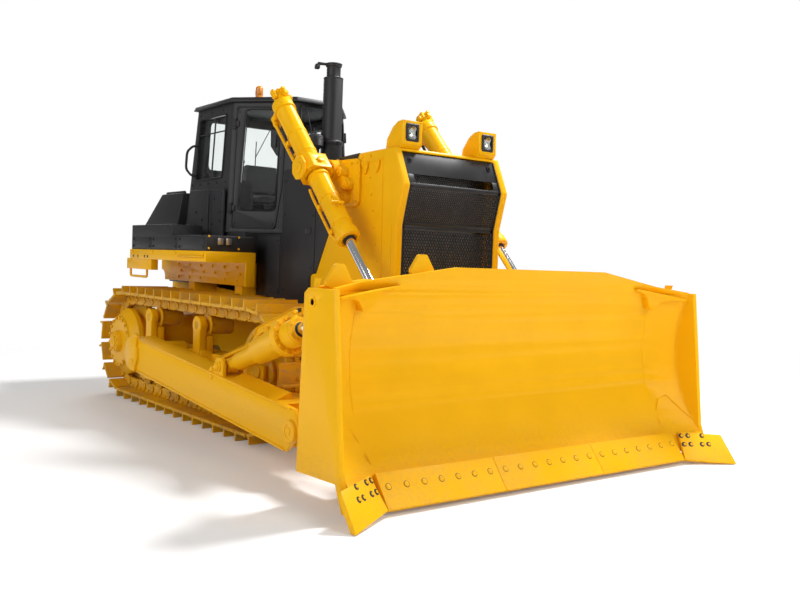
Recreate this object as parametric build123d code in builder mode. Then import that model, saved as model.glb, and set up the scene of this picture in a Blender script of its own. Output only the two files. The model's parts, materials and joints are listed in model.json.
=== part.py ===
from build123d import *

import math
import os

os.makedirs("parts", exist_ok=True)

# Crawler bulldozer, millimetres: +X forward to the blade, +Y to the machine's left, +Z up.
# The origin is on the ground, in the middle of the overall length.

# ---- driving dimensions ----
SIDES = (("right", -1), ("left", 1))
seat_gap = 0.3
rod_gap = 0.5

# undercarriage
gauge = 2140
track_y = gauge / 2
shoe_width = 560
shoe_count = 41
pitch_radius = 485
wheelbase = 3150
idler_x = 692
sprocket_x = idler_x - wheelbase
shoe_seat = 65
shoe_plate = 28
grouser_height = 72
grouser_root = 30
grouser_tip = 16
shoe_slot = 9
link_depth = 55
link_waist = 38
rail_width = 45
rail_pitch = 160
axle_z = pitch_radius + shoe_seat + shoe_plate + grouser_height
track_out = track_y + shoe_width / 2
rail_low = axle_z - pitch_radius + link_depth
rail_high = axle_z + pitch_radius - link_depth

roller_tread = 98
roller_flange = 118
roller_count = 7
roller_first_x = sprocket_x + 498
roller_last_x = idler_x - 542
roller_z = rail_low + seat_gap + roller_tread
carrier_radius = 92
carrier_flange = 108
carrier_xs = (-1668, -458)
carrier_z = rail_high - seat_gap - carrier_radius

sprocket_teeth = 27
sprocket_width = 78
sprocket_root = pitch_radius - 42
sprocket_tip = pitch_radius + 12
idler_radius = pitch_radius - link_depth / math.cos(math.pi / 13) - 1.5
idler_tread_width = rail_pitch + rail_width + 20
idler_flange = idler_radius + 38
idler_flange_width = rail_pitch - rail_width - 16

drive_case_radius = 305
drive_hub_radius = 122
drive_out = track_out + 42

frame_beam_y = (track_y - 150, track_y + 150)
frame_beam_z = (roller_z + roller_flange + 12, 620)
frame_beam_x = (sprocket_x + 578, idler_x - 502)

# hull
hull_half = 480
hull_low = 500
deck_z = 1250
case_x = (-2960, -300)
rail_front_x = 1560
rail_thick = 90
guard_thick = 20
hitch_x = -3440
hitch_z = 760

# engine bay
bay_half = 600
bay_wall = 24
exhaust_x = -130
exhaust_top = 3724
exhaust_bore = 62
cleaner_y = 205
bay_rear_x = -60
bay_foot_x = -560
bay_foot_z = (1290, 1925)
neck_x = -312
neck_half = 270
bay_split_x = 1251
hood_rear_z = 2560
neck_z = hood_rear_z + 4
hood_split_z = 2640
cowl_crown = (1768, 2659)
cowl_chin = (1912, 2340)
cowl_fold = (1826, 2003)
cowl_low_z = 1150
grille_half = 527
lamp_ys = (-434, 434)
lamp_half = 106
lamp_lens = (146, 140)
lamp_lens_v = 100
grille_thick = 16

# cab
cab_low = 1940
cab_high = 3330
cab_wall = 55
cab_foot = ((-2030, 745), (-930, 781), (-326, 300))
cab_crown = ((-1906, 673), (-976, 704), (-418, 260))
roof_over = 45
beacon_at = (-1280, -239)
roof_thick = 50
door_gap = 8
seat_x = -1430
dash_x = -520
door_axis_u = 48
door_axis_n = 16
door_hinge_vs = (260, 1160)
knuckle_radius = 12
knuckle_length = 60
leaf_length = 26
hinge_pin_radius = 5

# fenders and tank
fender_out = 1305
fender_in = 757
fender_x = (-2275, -300)
fender_z = (1619, 1727)
fender_web_low = 1380
fender_tail_x = -2500
box_z = 2000
box_low_z = 1885
box_step_x = -1150
cover_in = 787
cover_high = 2405
tank_foot_x = (-3120, -2140)
tank_crown_x = -2740
tank_z = (2032, 2408)
tank_foot_half = 800
tank_crown_half = 740
tank_sump_x = -2800
tank_sump_half = 600

# working arms and blade
trunnion_x = -1010
trunnion_z = 668
arm_y = 1625
arm_width = 230
arm_rear_height = 335
arm_front_height = 345
stub_radius = 78
ring_radius = 112
arm_pin_x = 2125
arm_pin_z = 400

blade_top = (2900, 1663)
blade_deep = (2692, 1080)
blade_low = (3010, 237)
edge_top = (3041, 262)
blade_plate = 35
blade_bend_y = 1626
blade_side_y = 1976
blade_wing_angle = 26
blade_corner_z = 1494
blade_crown_y = 814
gusset_z = 1478
hump_x = 2790
humps = ((1100, 1748, 1600), (1815, 1662, 1500))
edge_low = (3208, 48)
edge_thick = 40
side_plate = 45

# lift cylinders
lift_y = 870
yoke_x = 942
yoke_z = 2490
yoke_half = 150
rod_eye_x = 2450
rod_eye_z = 888
barrel_up = 798
barrel_down = 858
barrel_radius = 92
lift_rod_radius = 42
eye_radius = 85
head_cap = 80
bracket_hub = (960, 2440)
bracket_bosses = ((1076, 2474), (1166, 2364), (1100, 2244))
bracket_lobe = 52
bracket_thick = 58
yoke_depth = 240
head_valve = (112, 118, 122)

# tilt cylinder and brace
tilt_y = arm_y
tilt_foot = (905, 745)
tilt_head = (2515, 1318)
tilt_rod_radius = 48
tilt_pin_radius = 34
tilt_ball_radius = 50
tilt_lug_radius = 60
tilt_lug_bore = 42
tilt_lug_half = 50
tilt_barrel_radius = 110


def upright(y):
    """The XZ plane at a given y; extruding both ways keeps the piece centred on it."""
    return Plane.XZ.offset(-y)


def save(builder, name):
    builder.part.label = name
    export_step(builder.part, f"parts/{name}.step")


# ---- track: pins walk round a stadium-shaped path, one chord for each shoe ----
with BuildLine() as pin_path:
    Line((idler_x, axle_z - pitch_radius), (sprocket_x, axle_z - pitch_radius))
    ThreePointArc(
        (sprocket_x, axle_z - pitch_radius),
        (sprocket_x - pitch_radius, axle_z),
        (sprocket_x, axle_z + pitch_radius),
    )
    Line((sprocket_x, axle_z + pitch_radius), (idler_x, axle_z + pitch_radius))
    ThreePointArc(
        (idler_x, axle_z + pitch_radius),
        (idler_x + pitch_radius, axle_z),
        (idler_x, axle_z - pitch_radius),
    )
pins = [pin_path.wire().position_at(i / shoe_count) for i in range(shoe_count)]
chords = [(pins[i], pins[(i + 1) % shoe_count]) for i in range(shoe_count)]


def chord_point(chord, along, out):
    """A point beside one chord: a length along it, and a height outwards from it."""
    start, end = chord
    run = (end - start).normalized()
    return start + run * along + Vector(-run.Y, run.X) * out


def mitre(index, out):
    """The corner between two chords of the chain, moved outwards."""
    before = chords[index - 1]
    after = chords[index]
    run_a = (before[1] - before[0]).normalized()
    run_b = (after[1] - after[0]).normalized()
    normal = (Vector(-run_a.Y, run_a.X) + Vector(-run_b.Y, run_b.X)).normalized()
    stretch = 1 / normal.dot(Vector(-run_a.Y, run_a.X))
    return pins[index] + normal * (out * stretch)


def track_shoe(chord):
    """Plate and single grouser of one shoe, as a closed outline."""
    length = (chord[1] - chord[0]).length
    top = shoe_seat + shoe_plate
    profile = (
        # along, out
        (shoe_slot / 2, shoe_seat),
        (length - shoe_slot / 2, shoe_seat),
        (length - shoe_slot / 2, top),
        (length * 0.86 + grouser_root / 2, top),
        (length * 0.86 + grouser_tip / 2, top + grouser_height),
        (length * 0.86 - grouser_tip / 2, top + grouser_height),
        (length * 0.86 - grouser_root / 2, top),
        (shoe_slot / 2, top),
    )
    return [chord_point(chord, along, out) for along, out in profile]


rail_outer = [mitre(i, shoe_seat) for i in range(shoe_count)]
rail_inner = []
for i in range(shoe_count):
    rail_inner.append(mitre(i, -link_depth))
    rail_inner.append(chord_point(chords[i], (chords[i][1] - chords[i][0]).length / 2, -link_waist))

for side, sign in SIDES:
    with BuildPart() as track:
        with BuildSketch(upright(sign * track_y)) as shoes:
            for chord in chords:
                Polygon(*[(p.X, p.Y) for p in track_shoe(chord)], align=None)
        extrude(amount=shoe_width / 2, both=True)
        for offset_y in (-rail_pitch / 2, rail_pitch / 2):
            with BuildSketch(upright(sign * track_y + offset_y)) as rails:
                Polygon(*[(p.X, p.Y) for p in rail_outer], align=None)
                Polygon(*[(p.X, p.Y) for p in rail_inner], align=None, mode=Mode.SUBTRACT)
            extrude(amount=rail_width / 2, both=True)
    save(track, f"track_{side}")

# ---- sprocket, idler and rollers ----
tooth_half = math.pi * pitch_radius / sprocket_teeth
with BuildPart() as sprockets:
    for side, sign in SIDES:
        with BuildSketch(upright(sign * track_y)):
            with Locations((sprocket_x, axle_z)):
                Circle(sprocket_root)
                with PolarLocations(0, sprocket_teeth):
                    Polygon(
                        (sprocket_root - 12, -tooth_half * 0.62),
                        (sprocket_tip, -tooth_half * 0.26),
                        (sprocket_tip, tooth_half * 0.26),
                        (sprocket_root - 12, tooth_half * 0.62),
                        align=None,
                    )
        extrude(amount=sprocket_width / 2, both=True)
save(sprockets, "sprockets")

with BuildPart() as final_drives:
    for side, sign in SIDES:
        with BuildSketch(upright(sign * (track_y + sprocket_width / 2 + seat_gap))):
            with Locations((sprocket_x, axle_z)):
                Circle(drive_case_radius)
        extrude(amount=-sign * (track_out - track_y - sprocket_width / 2 - 45), taper=0)
        with BuildSketch(upright(sign * (track_out - 45))):
            with Locations((sprocket_x, axle_z)):
                Circle(drive_case_radius - 40)
        extrude(amount=-sign * 25)
        with BuildSketch(upright(sign * (track_out - 20))):
            with Locations((sprocket_x, axle_z)):
                Circle(drive_hub_radius)
        extrude(amount=-sign * (drive_out - track_out + 20))
        with BuildSketch(upright(sign * (track_y - sprocket_width / 2 - seat_gap))):
            with Locations((sprocket_x, axle_z)):
                Circle(drive_case_radius)
        extrude(amount=sign * (track_y - sprocket_width / 2 - seat_gap - hull_half - seat_gap))
save(final_drives, "final_drives")

with BuildPart() as idlers:
    for side, sign in SIDES:
        with BuildSketch(upright(sign * track_y)):
            with Locations((idler_x, axle_z)):
                Circle(idler_radius)
        extrude(amount=idler_tread_width / 2, both=True)
        with BuildSketch(upright(sign * track_y)):
            with Locations((idler_x, axle_z)):
                Circle(idler_flange)
        extrude(amount=idler_flange_width / 2, both=True)
        for face_y in (track_y - idler_tread_width / 2, track_y + idler_tread_width / 2):
            with BuildSketch(upright(sign * face_y)):
                with Locations((idler_x, axle_z)):
                    Circle(idler_radius - 55)
                    Circle(135, mode=Mode.SUBTRACT)
            extrude(amount=62, both=True, mode=Mode.SUBTRACT)
        with BuildSketch(upright(sign * track_y)):
            with Locations((idler_x, axle_z)):
                Circle(60)
        extrude(amount=195, both=True)
save(idlers, "idlers")

roller_step = (roller_last_x - roller_first_x) / (roller_count - 1)
roller_xs = [roller_first_x + i * roller_step for i in range(roller_count)]
with BuildPart() as track_rollers:
    for side, sign in SIDES:
        with BuildSketch(upright(sign * track_y)):
            with Locations(*[(x, roller_z) for x in roller_xs]):
                Circle(roller_tread)
        extrude(amount=rail_pitch / 2 + rail_width / 2 + 42, both=True)
        for offset_y in (-1, 1):
            with BuildSketch(upright(sign * track_y + offset_y * (rail_pitch / 2 + rail_width / 2 + 17))):
                with Locations(*[(x, roller_z) for x in roller_xs]):
                    Circle(roller_flange)
            extrude(amount=12, both=True)
        with BuildSketch(upright(sign * track_y)):
            with Locations(*[(x, roller_z) for x in roller_xs]):
                Circle(38)
        extrude(amount=168, both=True)
save(track_rollers, "track_rollers")

with BuildPart() as carrier_rollers:
    for side, sign in SIDES:
        with BuildSketch(upright(sign * track_y)):
            with Locations(*[(x, carrier_z) for x in carrier_xs]):
                Circle(carrier_radius)
        extrude(amount=rail_pitch / 2 + rail_width / 2 + 28, both=True)
        with BuildSketch(upright(sign * (track_y + rail_pitch / 2 + rail_width / 2 + 17))):
            with Locations(*[(x, carrier_z) for x in carrier_xs]):
                Circle(carrier_flange)
        extrude(amount=11, both=True)
        with BuildSketch(upright(sign * track_y)):
            with Locations(*[(x, carrier_z) for x in carrier_xs]):
                Circle(40)
        extrude(amount=-sign * 236)
save(carrier_rollers, "carrier_rollers")

# ---- track frame: beam, roller guards, idler yoke, carrier posts and arm trunnion ----
beam_low, beam_high = frame_beam_z
with BuildPart() as track_frames:
    for side, sign in SIDES:
        with BuildSketch(upright(sign * track_y)):
            Polygon(
                (frame_beam_x[0], beam_low),
                (frame_beam_x[1], beam_low),
                (frame_beam_x[1], beam_high - 40),
                (frame_beam_x[1] - 180, beam_high + 90),
                (frame_beam_x[0] + 320, beam_high + 90),
                (frame_beam_x[0], beam_high - 60),
                align=None,
            )
        extrude(amount=(frame_beam_y[1] - frame_beam_y[0]) / 2 - 40, both=True)
        for cheek_y in (frame_beam_y[0] - 12, frame_beam_y[1] + 12):
            with BuildSketch(upright(sign * cheek_y)):
                Polygon(
                    (frame_beam_x[0] - 160, roller_z - 40),
                    (frame_beam_x[1] + 60, roller_z - 40),
                    (frame_beam_x[1] + 60, beam_low + 60),
                    (idler_x - 60, axle_z - 70),
                    (idler_x + 110, axle_z - 70),
                    (idler_x + 110, axle_z + 70),
                    (idler_x - 60, axle_z + 70),
                    (frame_beam_x[1] - 60, beam_high - 60),
                    (frame_beam_x[0] - 60, beam_high - 60),
                    (frame_beam_x[0] - 160, beam_low + 60),
                    align=None,
                )
            extrude(amount=14, both=True)
            with BuildSketch(upright(sign * cheek_y)):
                with Locations(*[(x, roller_z) for x in roller_xs]):
                    Circle(38 + seat_gap)
                with Locations((idler_x, axle_z)):
                    Circle(60.3)
            extrude(amount=14, both=True, mode=Mode.SUBTRACT)
        with BuildSketch(upright(sign * track_y)):
            with Locations(((frame_beam_x[0] + frame_beam_x[1]) / 2, beam_low + 60)):
                Rectangle(frame_beam_x[1] - frame_beam_x[0], 100)
        extrude(amount=(frame_beam_y[1] - frame_beam_y[0]) / 2 + 10, both=True)
        for x in carrier_xs:
            with BuildSketch(upright(sign * (track_y + 205))):
                with Locations((x, (carrier_z + beam_high - 100) / 2)):
                    Rectangle(150, carrier_z - beam_high + 100)
                with Locations((x, carrier_z)):
                    Circle(92)
            extrude(amount=34, both=True)
            with BuildSketch(upright(sign * (track_y + 170))):
                with Locations((x, beam_high + 45)):
                    Trapezoid(330, 150, 62)
            extrude(amount=60, both=True)
            with BuildSketch(upright(sign * (track_y + 205))):
                with Locations((x, carrier_z)):
                    Circle(40.3)
            extrude(amount=45, both=True, mode=Mode.SUBTRACT)
        # stub shaft that carries the push arm
        with BuildSketch(upright(sign * (track_y + 120))):
            with Locations((trunnion_x, trunnion_z)):
                Circle(stub_radius + 35)
        extrude(amount=-sign * (arm_y - arm_width / 2 - 12 - track_y - 120))
        with BuildSketch(upright(sign * (track_y + 120))):
            with Locations((trunnion_x, trunnion_z)):
                Circle(stub_radius)
        extrude(amount=-sign * (arm_y + 45 - track_y - 120))
        with BuildSketch(upright(sign * (track_y + 150))):
            with Locations((trunnion_x, trunnion_z - 90)):
                Rectangle(420, 250)
        extrude(amount=45, both=True)
save(track_frames, "track_frames")


with BuildPart() as rings:
    for side, sign in SIDES:
        with BuildSketch(upright(sign * arm_y)):
            with Locations((trunnion_x, trunnion_z)):
                Circle(ring_radius)
                Circle(stub_radius + seat_gap, mode=Mode.SUBTRACT)
        extrude(amount=40, both=True)
save(rings, "trunnion_rings")

# ---- main frame: rear case, engine rails, cross members and belly guard ----
with BuildPart() as main_frame:
    with BuildSketch(upright(0)):
        Polygon(
            (case_x[0], hull_low + 260),
            (case_x[0] + 260, hull_low + guard_thick),
            (case_x[1], hull_low + guard_thick),
            (case_x[1], deck_z),
            (case_x[0] + 700, deck_z + 100),
            (case_x[0], deck_z + 100),
            align=None,
        )
    extrude(amount=hull_half, both=True)
    with BuildSketch(upright(0)):
        Polygon(
            (case_x[1] - 10, hull_low + guard_thick),
            (rail_front_x - 260, hull_low + guard_thick),
            (rail_front_x, hull_low + 280),
            (rail_front_x, 1050),
            (case_x[1] - 10, 1050),
            align=None,
        )
    extrude(amount=hull_half, both=True)
    with BuildSketch(Plane.XY.offset(hull_low + 120)):
        with Locations(((case_x[1] + rail_front_x - 90) / 2, 0)):
            Rectangle(rail_front_x - case_x[1] - 90, 2 * (hull_half - rail_thick))
    extrude(amount=1050, mode=Mode.SUBTRACT)
    # posts that carry the fenders
    for x in (-1800, -660):
        for sign in (-1, 1):
            with BuildSketch(Plane.XY.offset(deck_z - 120)):
                with Locations((x, sign * (hull_half + fender_in - 20) / 2)):
                    Rectangle(160, fender_in - hull_half + 20)
            extrude(amount=fender_z[0] - deck_z + 120 - seat_gap)
save(main_frame, "main_frame")

with BuildPart() as belly_guard:
    with BuildSketch(upright(0)):
        Polygon(
            (case_x[0] + 262, hull_low),
            (rail_front_x - 252, hull_low),
            (rail_front_x + 14, hull_low + 266),
            (rail_front_x, hull_low + 280 - 2 * seat_gap),
            (rail_front_x - 260, hull_low + guard_thick - seat_gap),
            (case_x[0] + 262, hull_low + guard_thick - seat_gap),
            align=None,
        )
    extrude(amount=hull_half - 20, both=True)
save(belly_guard, "belly_guard")

with BuildPart() as hitch:
    with BuildSketch(Plane.XY.offset(hitch_z - 60)):
        with Locations((hitch_x + 130, 0)):
            Circle(130)
        with Locations(((hitch_x + 130 + case_x[0] - seat_gap) / 2, 0)):
            Rectangle(case_x[0] - seat_gap - hitch_x - 130, 260)
    extrude(amount=120)
    with Locations((hitch_x + 130, 0, hitch_z)):
        Cylinder(42, 200, mode=Mode.SUBTRACT)
    with BuildSketch(Plane.YZ.offset(case_x[0] - seat_gap)):
        with Locations((0, hitch_z + 60)):
            Rectangle(520, 420)
    extrude(amount=-40)
save(hitch, "drawbar_hitch")

with BuildPart() as engine:
    with BuildSketch(Plane.XY.offset(hull_low + 120 + seat_gap)):
        with Locations(((60 + 1380) / 2, 0)):
            Rectangle(1320, 640)
    extrude(amount=1580)
save(engine, "engine_block")

with BuildPart() as pivot_shaft:
    with BuildSketch(upright(0)):
        with Locations((-1660, 560)):
            Circle(95)
    extrude(amount=track_y - 176 - seat_gap, both=True)
    with BuildSketch(upright(0)):
        with Locations((-1660, 560)):
            Circle(96)
    extrude(amount=hull_half + seat_gap, both=True, mode=Mode.SUBTRACT)
save(pivot_shaft, "pivot_shafts")

# ---- engine bay ----
hood_profile = (
    (bay_foot_x, bay_foot_z[0]),
    (bay_foot_x, bay_foot_z[1]),
    (bay_rear_x, bay_foot_z[1]),
    (bay_rear_x, hood_rear_z),
    (bay_split_x - seat_gap, hood_split_z),
    (816, 1972),
    (594, 1552),
    (500, 1549),
    (500, deck_z - 100),
    (case_x[1] + 10, deck_z - 100),
    (case_x[1] + 10, bay_foot_z[0]),
)
with BuildPart() as hood:
    with BuildSketch(upright(0)):
        Polygon(*hood_profile, align=None)
    extrude(amount=bay_half, both=True)
    with BuildSketch(upright(0)):
        Polygon(
            (bay_foot_x + bay_wall, deck_z - 200),
            (bay_foot_x + bay_wall, bay_foot_z[1] - bay_wall),
            (bay_rear_x + bay_wall, bay_foot_z[1] - bay_wall),
            (bay_rear_x + bay_wall, hood_rear_z - bay_wall),
            (bay_split_x + 400, hood_split_z + 16 - bay_wall),
            (bay_split_x + 400, deck_z - 200),
            align=None,
        )
    extrude(amount=bay_half - bay_wall, both=True, mode=Mode.SUBTRACT)
    # neck between the cab and the hood, which carries the exhaust and the air cleaner
    with BuildSketch(upright(0)):
        Polygon(
            (neck_x, bay_foot_z[1] - 1),
            (neck_x, neck_z - 60),
            (neck_x + 60, neck_z),
            (bay_rear_x + 1, neck_z),
            (bay_rear_x + 1, bay_foot_z[1] - 1),
            align=None,
        )
    extrude(amount=neck_half, both=True)
    with BuildSketch(upright(0)):
        Polygon(
            (neck_x + bay_wall, bay_foot_z[1] - 2 * bay_wall),
            (neck_x + bay_wall, neck_z - 60 - bay_wall),
            (neck_x + 60 + bay_wall, neck_z - bay_wall),
            (bay_rear_x + 2 * bay_wall, neck_z - bay_wall),
            (bay_rear_x + 2 * bay_wall, bay_foot_z[1] - 2 * bay_wall),
            align=None,
        )
    extrude(amount=neck_half - bay_wall, both=True, mode=Mode.SUBTRACT)
save(hood, "engine_hood")

cowl_profile = (
    (bay_split_x, hood_split_z),
    cowl_crown,
    cowl_chin,
    cowl_fold,
    (cowl_fold[0], cowl_low_z),
    (500 + seat_gap, cowl_low_z),
    (500 + seat_gap, 1549 - seat_gap),
    (594, 1552 - seat_gap),
    (816, 1972 - seat_gap),
)
with BuildPart() as cowl:
    with BuildSketch(upright(0)):
        Polygon(*cowl_profile, align=None)
    extrude(amount=bay_half, both=True)
    with BuildSketch(upright(0)):
        Polygon(
            (0, cowl_low_z - 100),
            (0, hood_rear_z),
            (bay_split_x - 200, hood_split_z - bay_wall - 6),
            (cowl_crown[0] - 40, cowl_crown[1] - bay_wall - 6),
            (cowl_crown[0] + 600, cowl_crown[1] - bay_wall - 6),
            (cowl_crown[0] + 600, cowl_low_z - 100),
            align=None,
        )
    extrude(amount=grille_half, both=True, mode=Mode.SUBTRACT)
save(cowl, "radiator_cowl")

grille_line = (
    (cowl_crown[0] + 5, cowl_crown[1] - 40),
    (cowl_chin[0] - 20, cowl_chin[1]),
    (cowl_fold[0] - 16, cowl_fold[1]),
    (cowl_fold[0] - 16, cowl_low_z + 100),
)
with BuildPart() as grille:
    with BuildSketch(upright(0)):
        Polygon(
            *grille_line,
            *[(x - grille_thick, z) for x, z in reversed(grille_line)],
            align=None,
        )
    extrude(amount=grille_half - seat_gap, both=True)
save(grille, "grille")

with BuildPart() as radiator:
    with BuildSketch(Plane.XY.offset(1050 + seat_gap)):
        with Locations((1600, 0)):
            Rectangle(160, 2 * (grille_half - 15))
    extrude(amount=1400)
save(radiator, "radiator_core")

cowl_rise = (cowl_crown[1] - hood_split_z) / (cowl_crown[0] - bay_split_x)
lamp_profile = (
    (1562, cowl_crown[1] - (cowl_crown[0] - 1562) * cowl_rise + seat_gap),
    (cowl_crown[0], cowl_crown[1] + seat_gap),
    (1795, 2690),
    (1790, 2890),
    (1720, 2880),
    (1654, 2840),
    (1575, 2742),
)
lamp_face = Vector(lamp_profile[3][0] - lamp_profile[2][0], 0, lamp_profile[3][1] - lamp_profile[2][1])
lamp_plane = Plane(
    origin=(lamp_profile[2][0], 0, lamp_profile[2][1]), x_dir=(0, 1, 0), z_dir=(lamp_face.Z, 0, -lamp_face.X)
)
with BuildPart() as lamps:
    for lamp_y in lamp_ys:
        with BuildSketch(upright(lamp_y)):
            Polygon(*lamp_profile, align=None)
        extrude(amount=lamp_half, both=True)
        with BuildSketch(lamp_plane.offset(1)):
            with Locations((lamp_y, lamp_lens_v)):
                RectangleRounded(lamp_lens[0], lamp_lens[1], 18)
        extrude(amount=-46, mode=Mode.SUBTRACT)
save(lamps, "headlight_housings")

with BuildPart() as lenses:
    for lamp_y in lamp_ys:
        with BuildSketch(lamp_plane.offset(-45 + seat_gap)):
            with Locations((lamp_y, lamp_lens_v)):
                RectangleRounded(lamp_lens[0] - 2 * seat_gap, lamp_lens[1] - 2 * seat_gap, 18)
        extrude(amount=34)
save(lenses, "headlight_lenses")

with BuildPart() as exhaust:
    with BuildSketch(upright(0)):
        with BuildLine():
            Polyline(
                (0, neck_z + seat_gap),
                (0, exhaust_top),
                (84, exhaust_top),
                (84, exhaust_top - 34),
                (73, exhaust_top - 40),
                (73, exhaust_top - 140),
                (102, exhaust_top - 155),
                (102, 2925),
                (118, 2915),
                (118, 2885),
                (111, 2875),
                (111, neck_z + seat_gap),
                close=True,
            )
        make_face()
    revolve(axis=Axis.Z)
    with BuildSketch(Plane.XY.offset(exhaust_top + 1)):
        Circle(exhaust_bore)
    extrude(amount=-400, mode=Mode.SUBTRACT)
exhaust.part.position = (exhaust_x, 0, 0)
# the air cleaner's cap stands beside the stack
with BuildPart() as air_cleaner:
    with BuildSketch(upright(0)):
        with BuildLine():
            Polyline(
                (0, neck_z + seat_gap),
                (0, 2975),
                (50, 2972),
                (84, 2950),
                (84, 2850),
                (50, 2820),
                (44, 2815),
                (44, neck_z + seat_gap),
                close=True,
            )
        make_face()
    revolve(axis=Axis.Z)
air_cleaner.part.position = (exhaust_x + 10, -cleaner_y, 0)
save(exhaust, "exhaust_stack")
save(air_cleaner, "air_cleaner")

# ---- cab: a shell with six upright panels, walls lean in towards the roof ----
def ring_points(table, inset=0):
    """Both halves of a plan table as one closed outline, moved in by a wall."""
    half = [(x, y - inset) for x, y in table]
    front_x = table[-1][0] - inset
    rear_x = table[0][0] + inset
    half[0] = (rear_x, half[0][1])
    half[-1] = (front_x, half[-1][1] + inset * 0.45)
    return [(x, -y) for x, y in half] + [(x, y) for x, y in reversed(half)]


with BuildPart() as cab_body:
    with BuildSketch(Plane.XY.offset(cab_low)):
        Polygon(*ring_points(cab_foot), align=None)
    with BuildSketch(Plane.XY.offset(cab_high)):
        Polygon(*ring_points(cab_crown), align=None)
    loft()
    with BuildSketch(Plane.XY.offset(cab_low - 1)):
        Polygon(*ring_points(cab_foot, cab_wall), align=None)
    with BuildSketch(Plane.XY.offset(cab_high + 1)):
        Polygon(*ring_points(cab_crown, cab_wall), align=None)
    loft(mode=Mode.SUBTRACT)
cab_shell = cab_body.part


def panel_plane(index, sign):
    """A plane on one cab panel: X along its foot towards the front, Y up the panel."""
    foot_a, foot_b = cab_foot[index], cab_foot[index + 1]
    crown_a, crown_b = cab_crown[index], cab_crown[index + 1]
    a = Vector(foot_a[0], sign * foot_a[1], cab_low)
    b = Vector(foot_b[0], sign * foot_b[1], cab_low)
    up = (Vector(*crown_a, 0) + Vector(*crown_b, 0) - Vector(*foot_a, 0) - Vector(*foot_b, 0)) * 0.5
    rise = Vector(up.X, sign * up.Y, cab_high - cab_low)
    along = (b - a).normalized()
    normal = along.cross(rise) * (-sign)
    return Plane(origin=a, x_dir=along, z_dir=normal), (b - a).length


side_window = (700, 690, 941)
door_low = 50
door_outline = ((60, door_low), (551, door_low), (606, 489), (612, 700), (612, 1340), (60, 1340))
door_glass_outline = ((122, 240), (540, 240), (550, 340), (552, 1312), (162, 1312))
front_window = (420, 700, 1010)
rear_window = (1060, 560, 1020)
front_plane = Plane(
    origin=(cab_foot[2][0], 0, cab_low),
    x_dir=(0, 1, 0),
    z_dir=(cab_high - cab_low, 0, cab_foot[2][0] - cab_crown[2][0]),
)
rear_plane = Plane(
    origin=(cab_foot[0][0], 0, cab_low),
    x_dir=(0, -1, 0),
    z_dir=(cab_low - cab_high, 0, cab_crown[0][0] - cab_foot[0][0]),
)


def panel_outline(outline, up, grow=0.0):
    """A door or glass outline on a cab panel, where up is the panel's own upward sense; grow widens it."""
    middle_u = sum(u for u, v in outline) / len(outline)
    middle_v = sum(v for u, v in outline) / len(outline)
    return [
        (u + grow * math.copysign(1, u - middle_u), up * (v + grow * math.copysign(1, v - middle_v)))
        for u, v in outline
    ]


with BuildPart() as cab:
    add(cab_shell)
    for side, sign in SIDES:
        up = -sign
        plane, length = panel_plane(0, sign)
        with BuildSketch(plane):
            with Locations((length * 0.5, up * side_window[2])):
                RectangleRounded(side_window[0], side_window[1], 60)
        extrude(amount=150, both=True, mode=Mode.SUBTRACT)
        plane, length = panel_plane(1, sign)
        with BuildSketch(plane) as door_hole:
            Polygon(*panel_outline(door_outline, up, door_gap), align=None)
            fillet(door_hole.vertices(), 34)
        extrude(amount=90, both=True, mode=Mode.SUBTRACT)
    with BuildSketch(front_plane):
        with Locations((0, front_window[2])):
            RectangleRounded(front_window[0], front_window[1], 50)
    extrude(amount=150, both=True, mode=Mode.SUBTRACT)
    with BuildSketch(rear_plane):
        with Locations((0, rear_window[2])):
            RectangleRounded(rear_window[0], rear_window[1], 60)
    extrude(amount=150, both=True, mode=Mode.SUBTRACT)
    # floor
    with BuildSketch(Plane.XY.offset(cab_low)):
        Polygon(*ring_points(cab_foot, cab_wall - 5), align=None)
    extrude(amount=40)
    # fixed hinge leaves, each with its pin
    for side, sign in SIDES:
        plane, length = panel_plane(1, sign)
        for hinge_v in door_hinge_vs:
            with Locations(plane):
                for leaf in (-1, 1):
                    leaf_v = -sign * hinge_v + leaf * (knuckle_length + leaf_length + 2 * seat_gap) / 2
                    with Locations(Location((door_axis_u, leaf_v, door_axis_n), (90, 0, 0))):
                        Cylinder(knuckle_radius, leaf_length)
                    with Locations((door_axis_u - 16, leaf_v, door_axis_n / 2 - 2)):
                        Box(30, leaf_length, door_axis_n + 4)
                with Locations(Location((door_axis_u, -sign * hinge_v, door_axis_n), (90, 0, 0))):
                    Cylinder(hinge_pin_radius, knuckle_length + leaf_length)
save(cab, "cab_body")

with BuildPart() as roof:
    with BuildSketch(Plane.XY.offset(cab_high + seat_gap)):
        Polygon(*ring_points(cab_crown, -roof_over), align=None)
    with BuildSketch(Plane.XY.offset(cab_high + seat_gap + roof_thick)):
        Polygon(*ring_points(cab_crown, -roof_over + 18), align=None)
    loft()
save(roof, "cab_roof")

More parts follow.
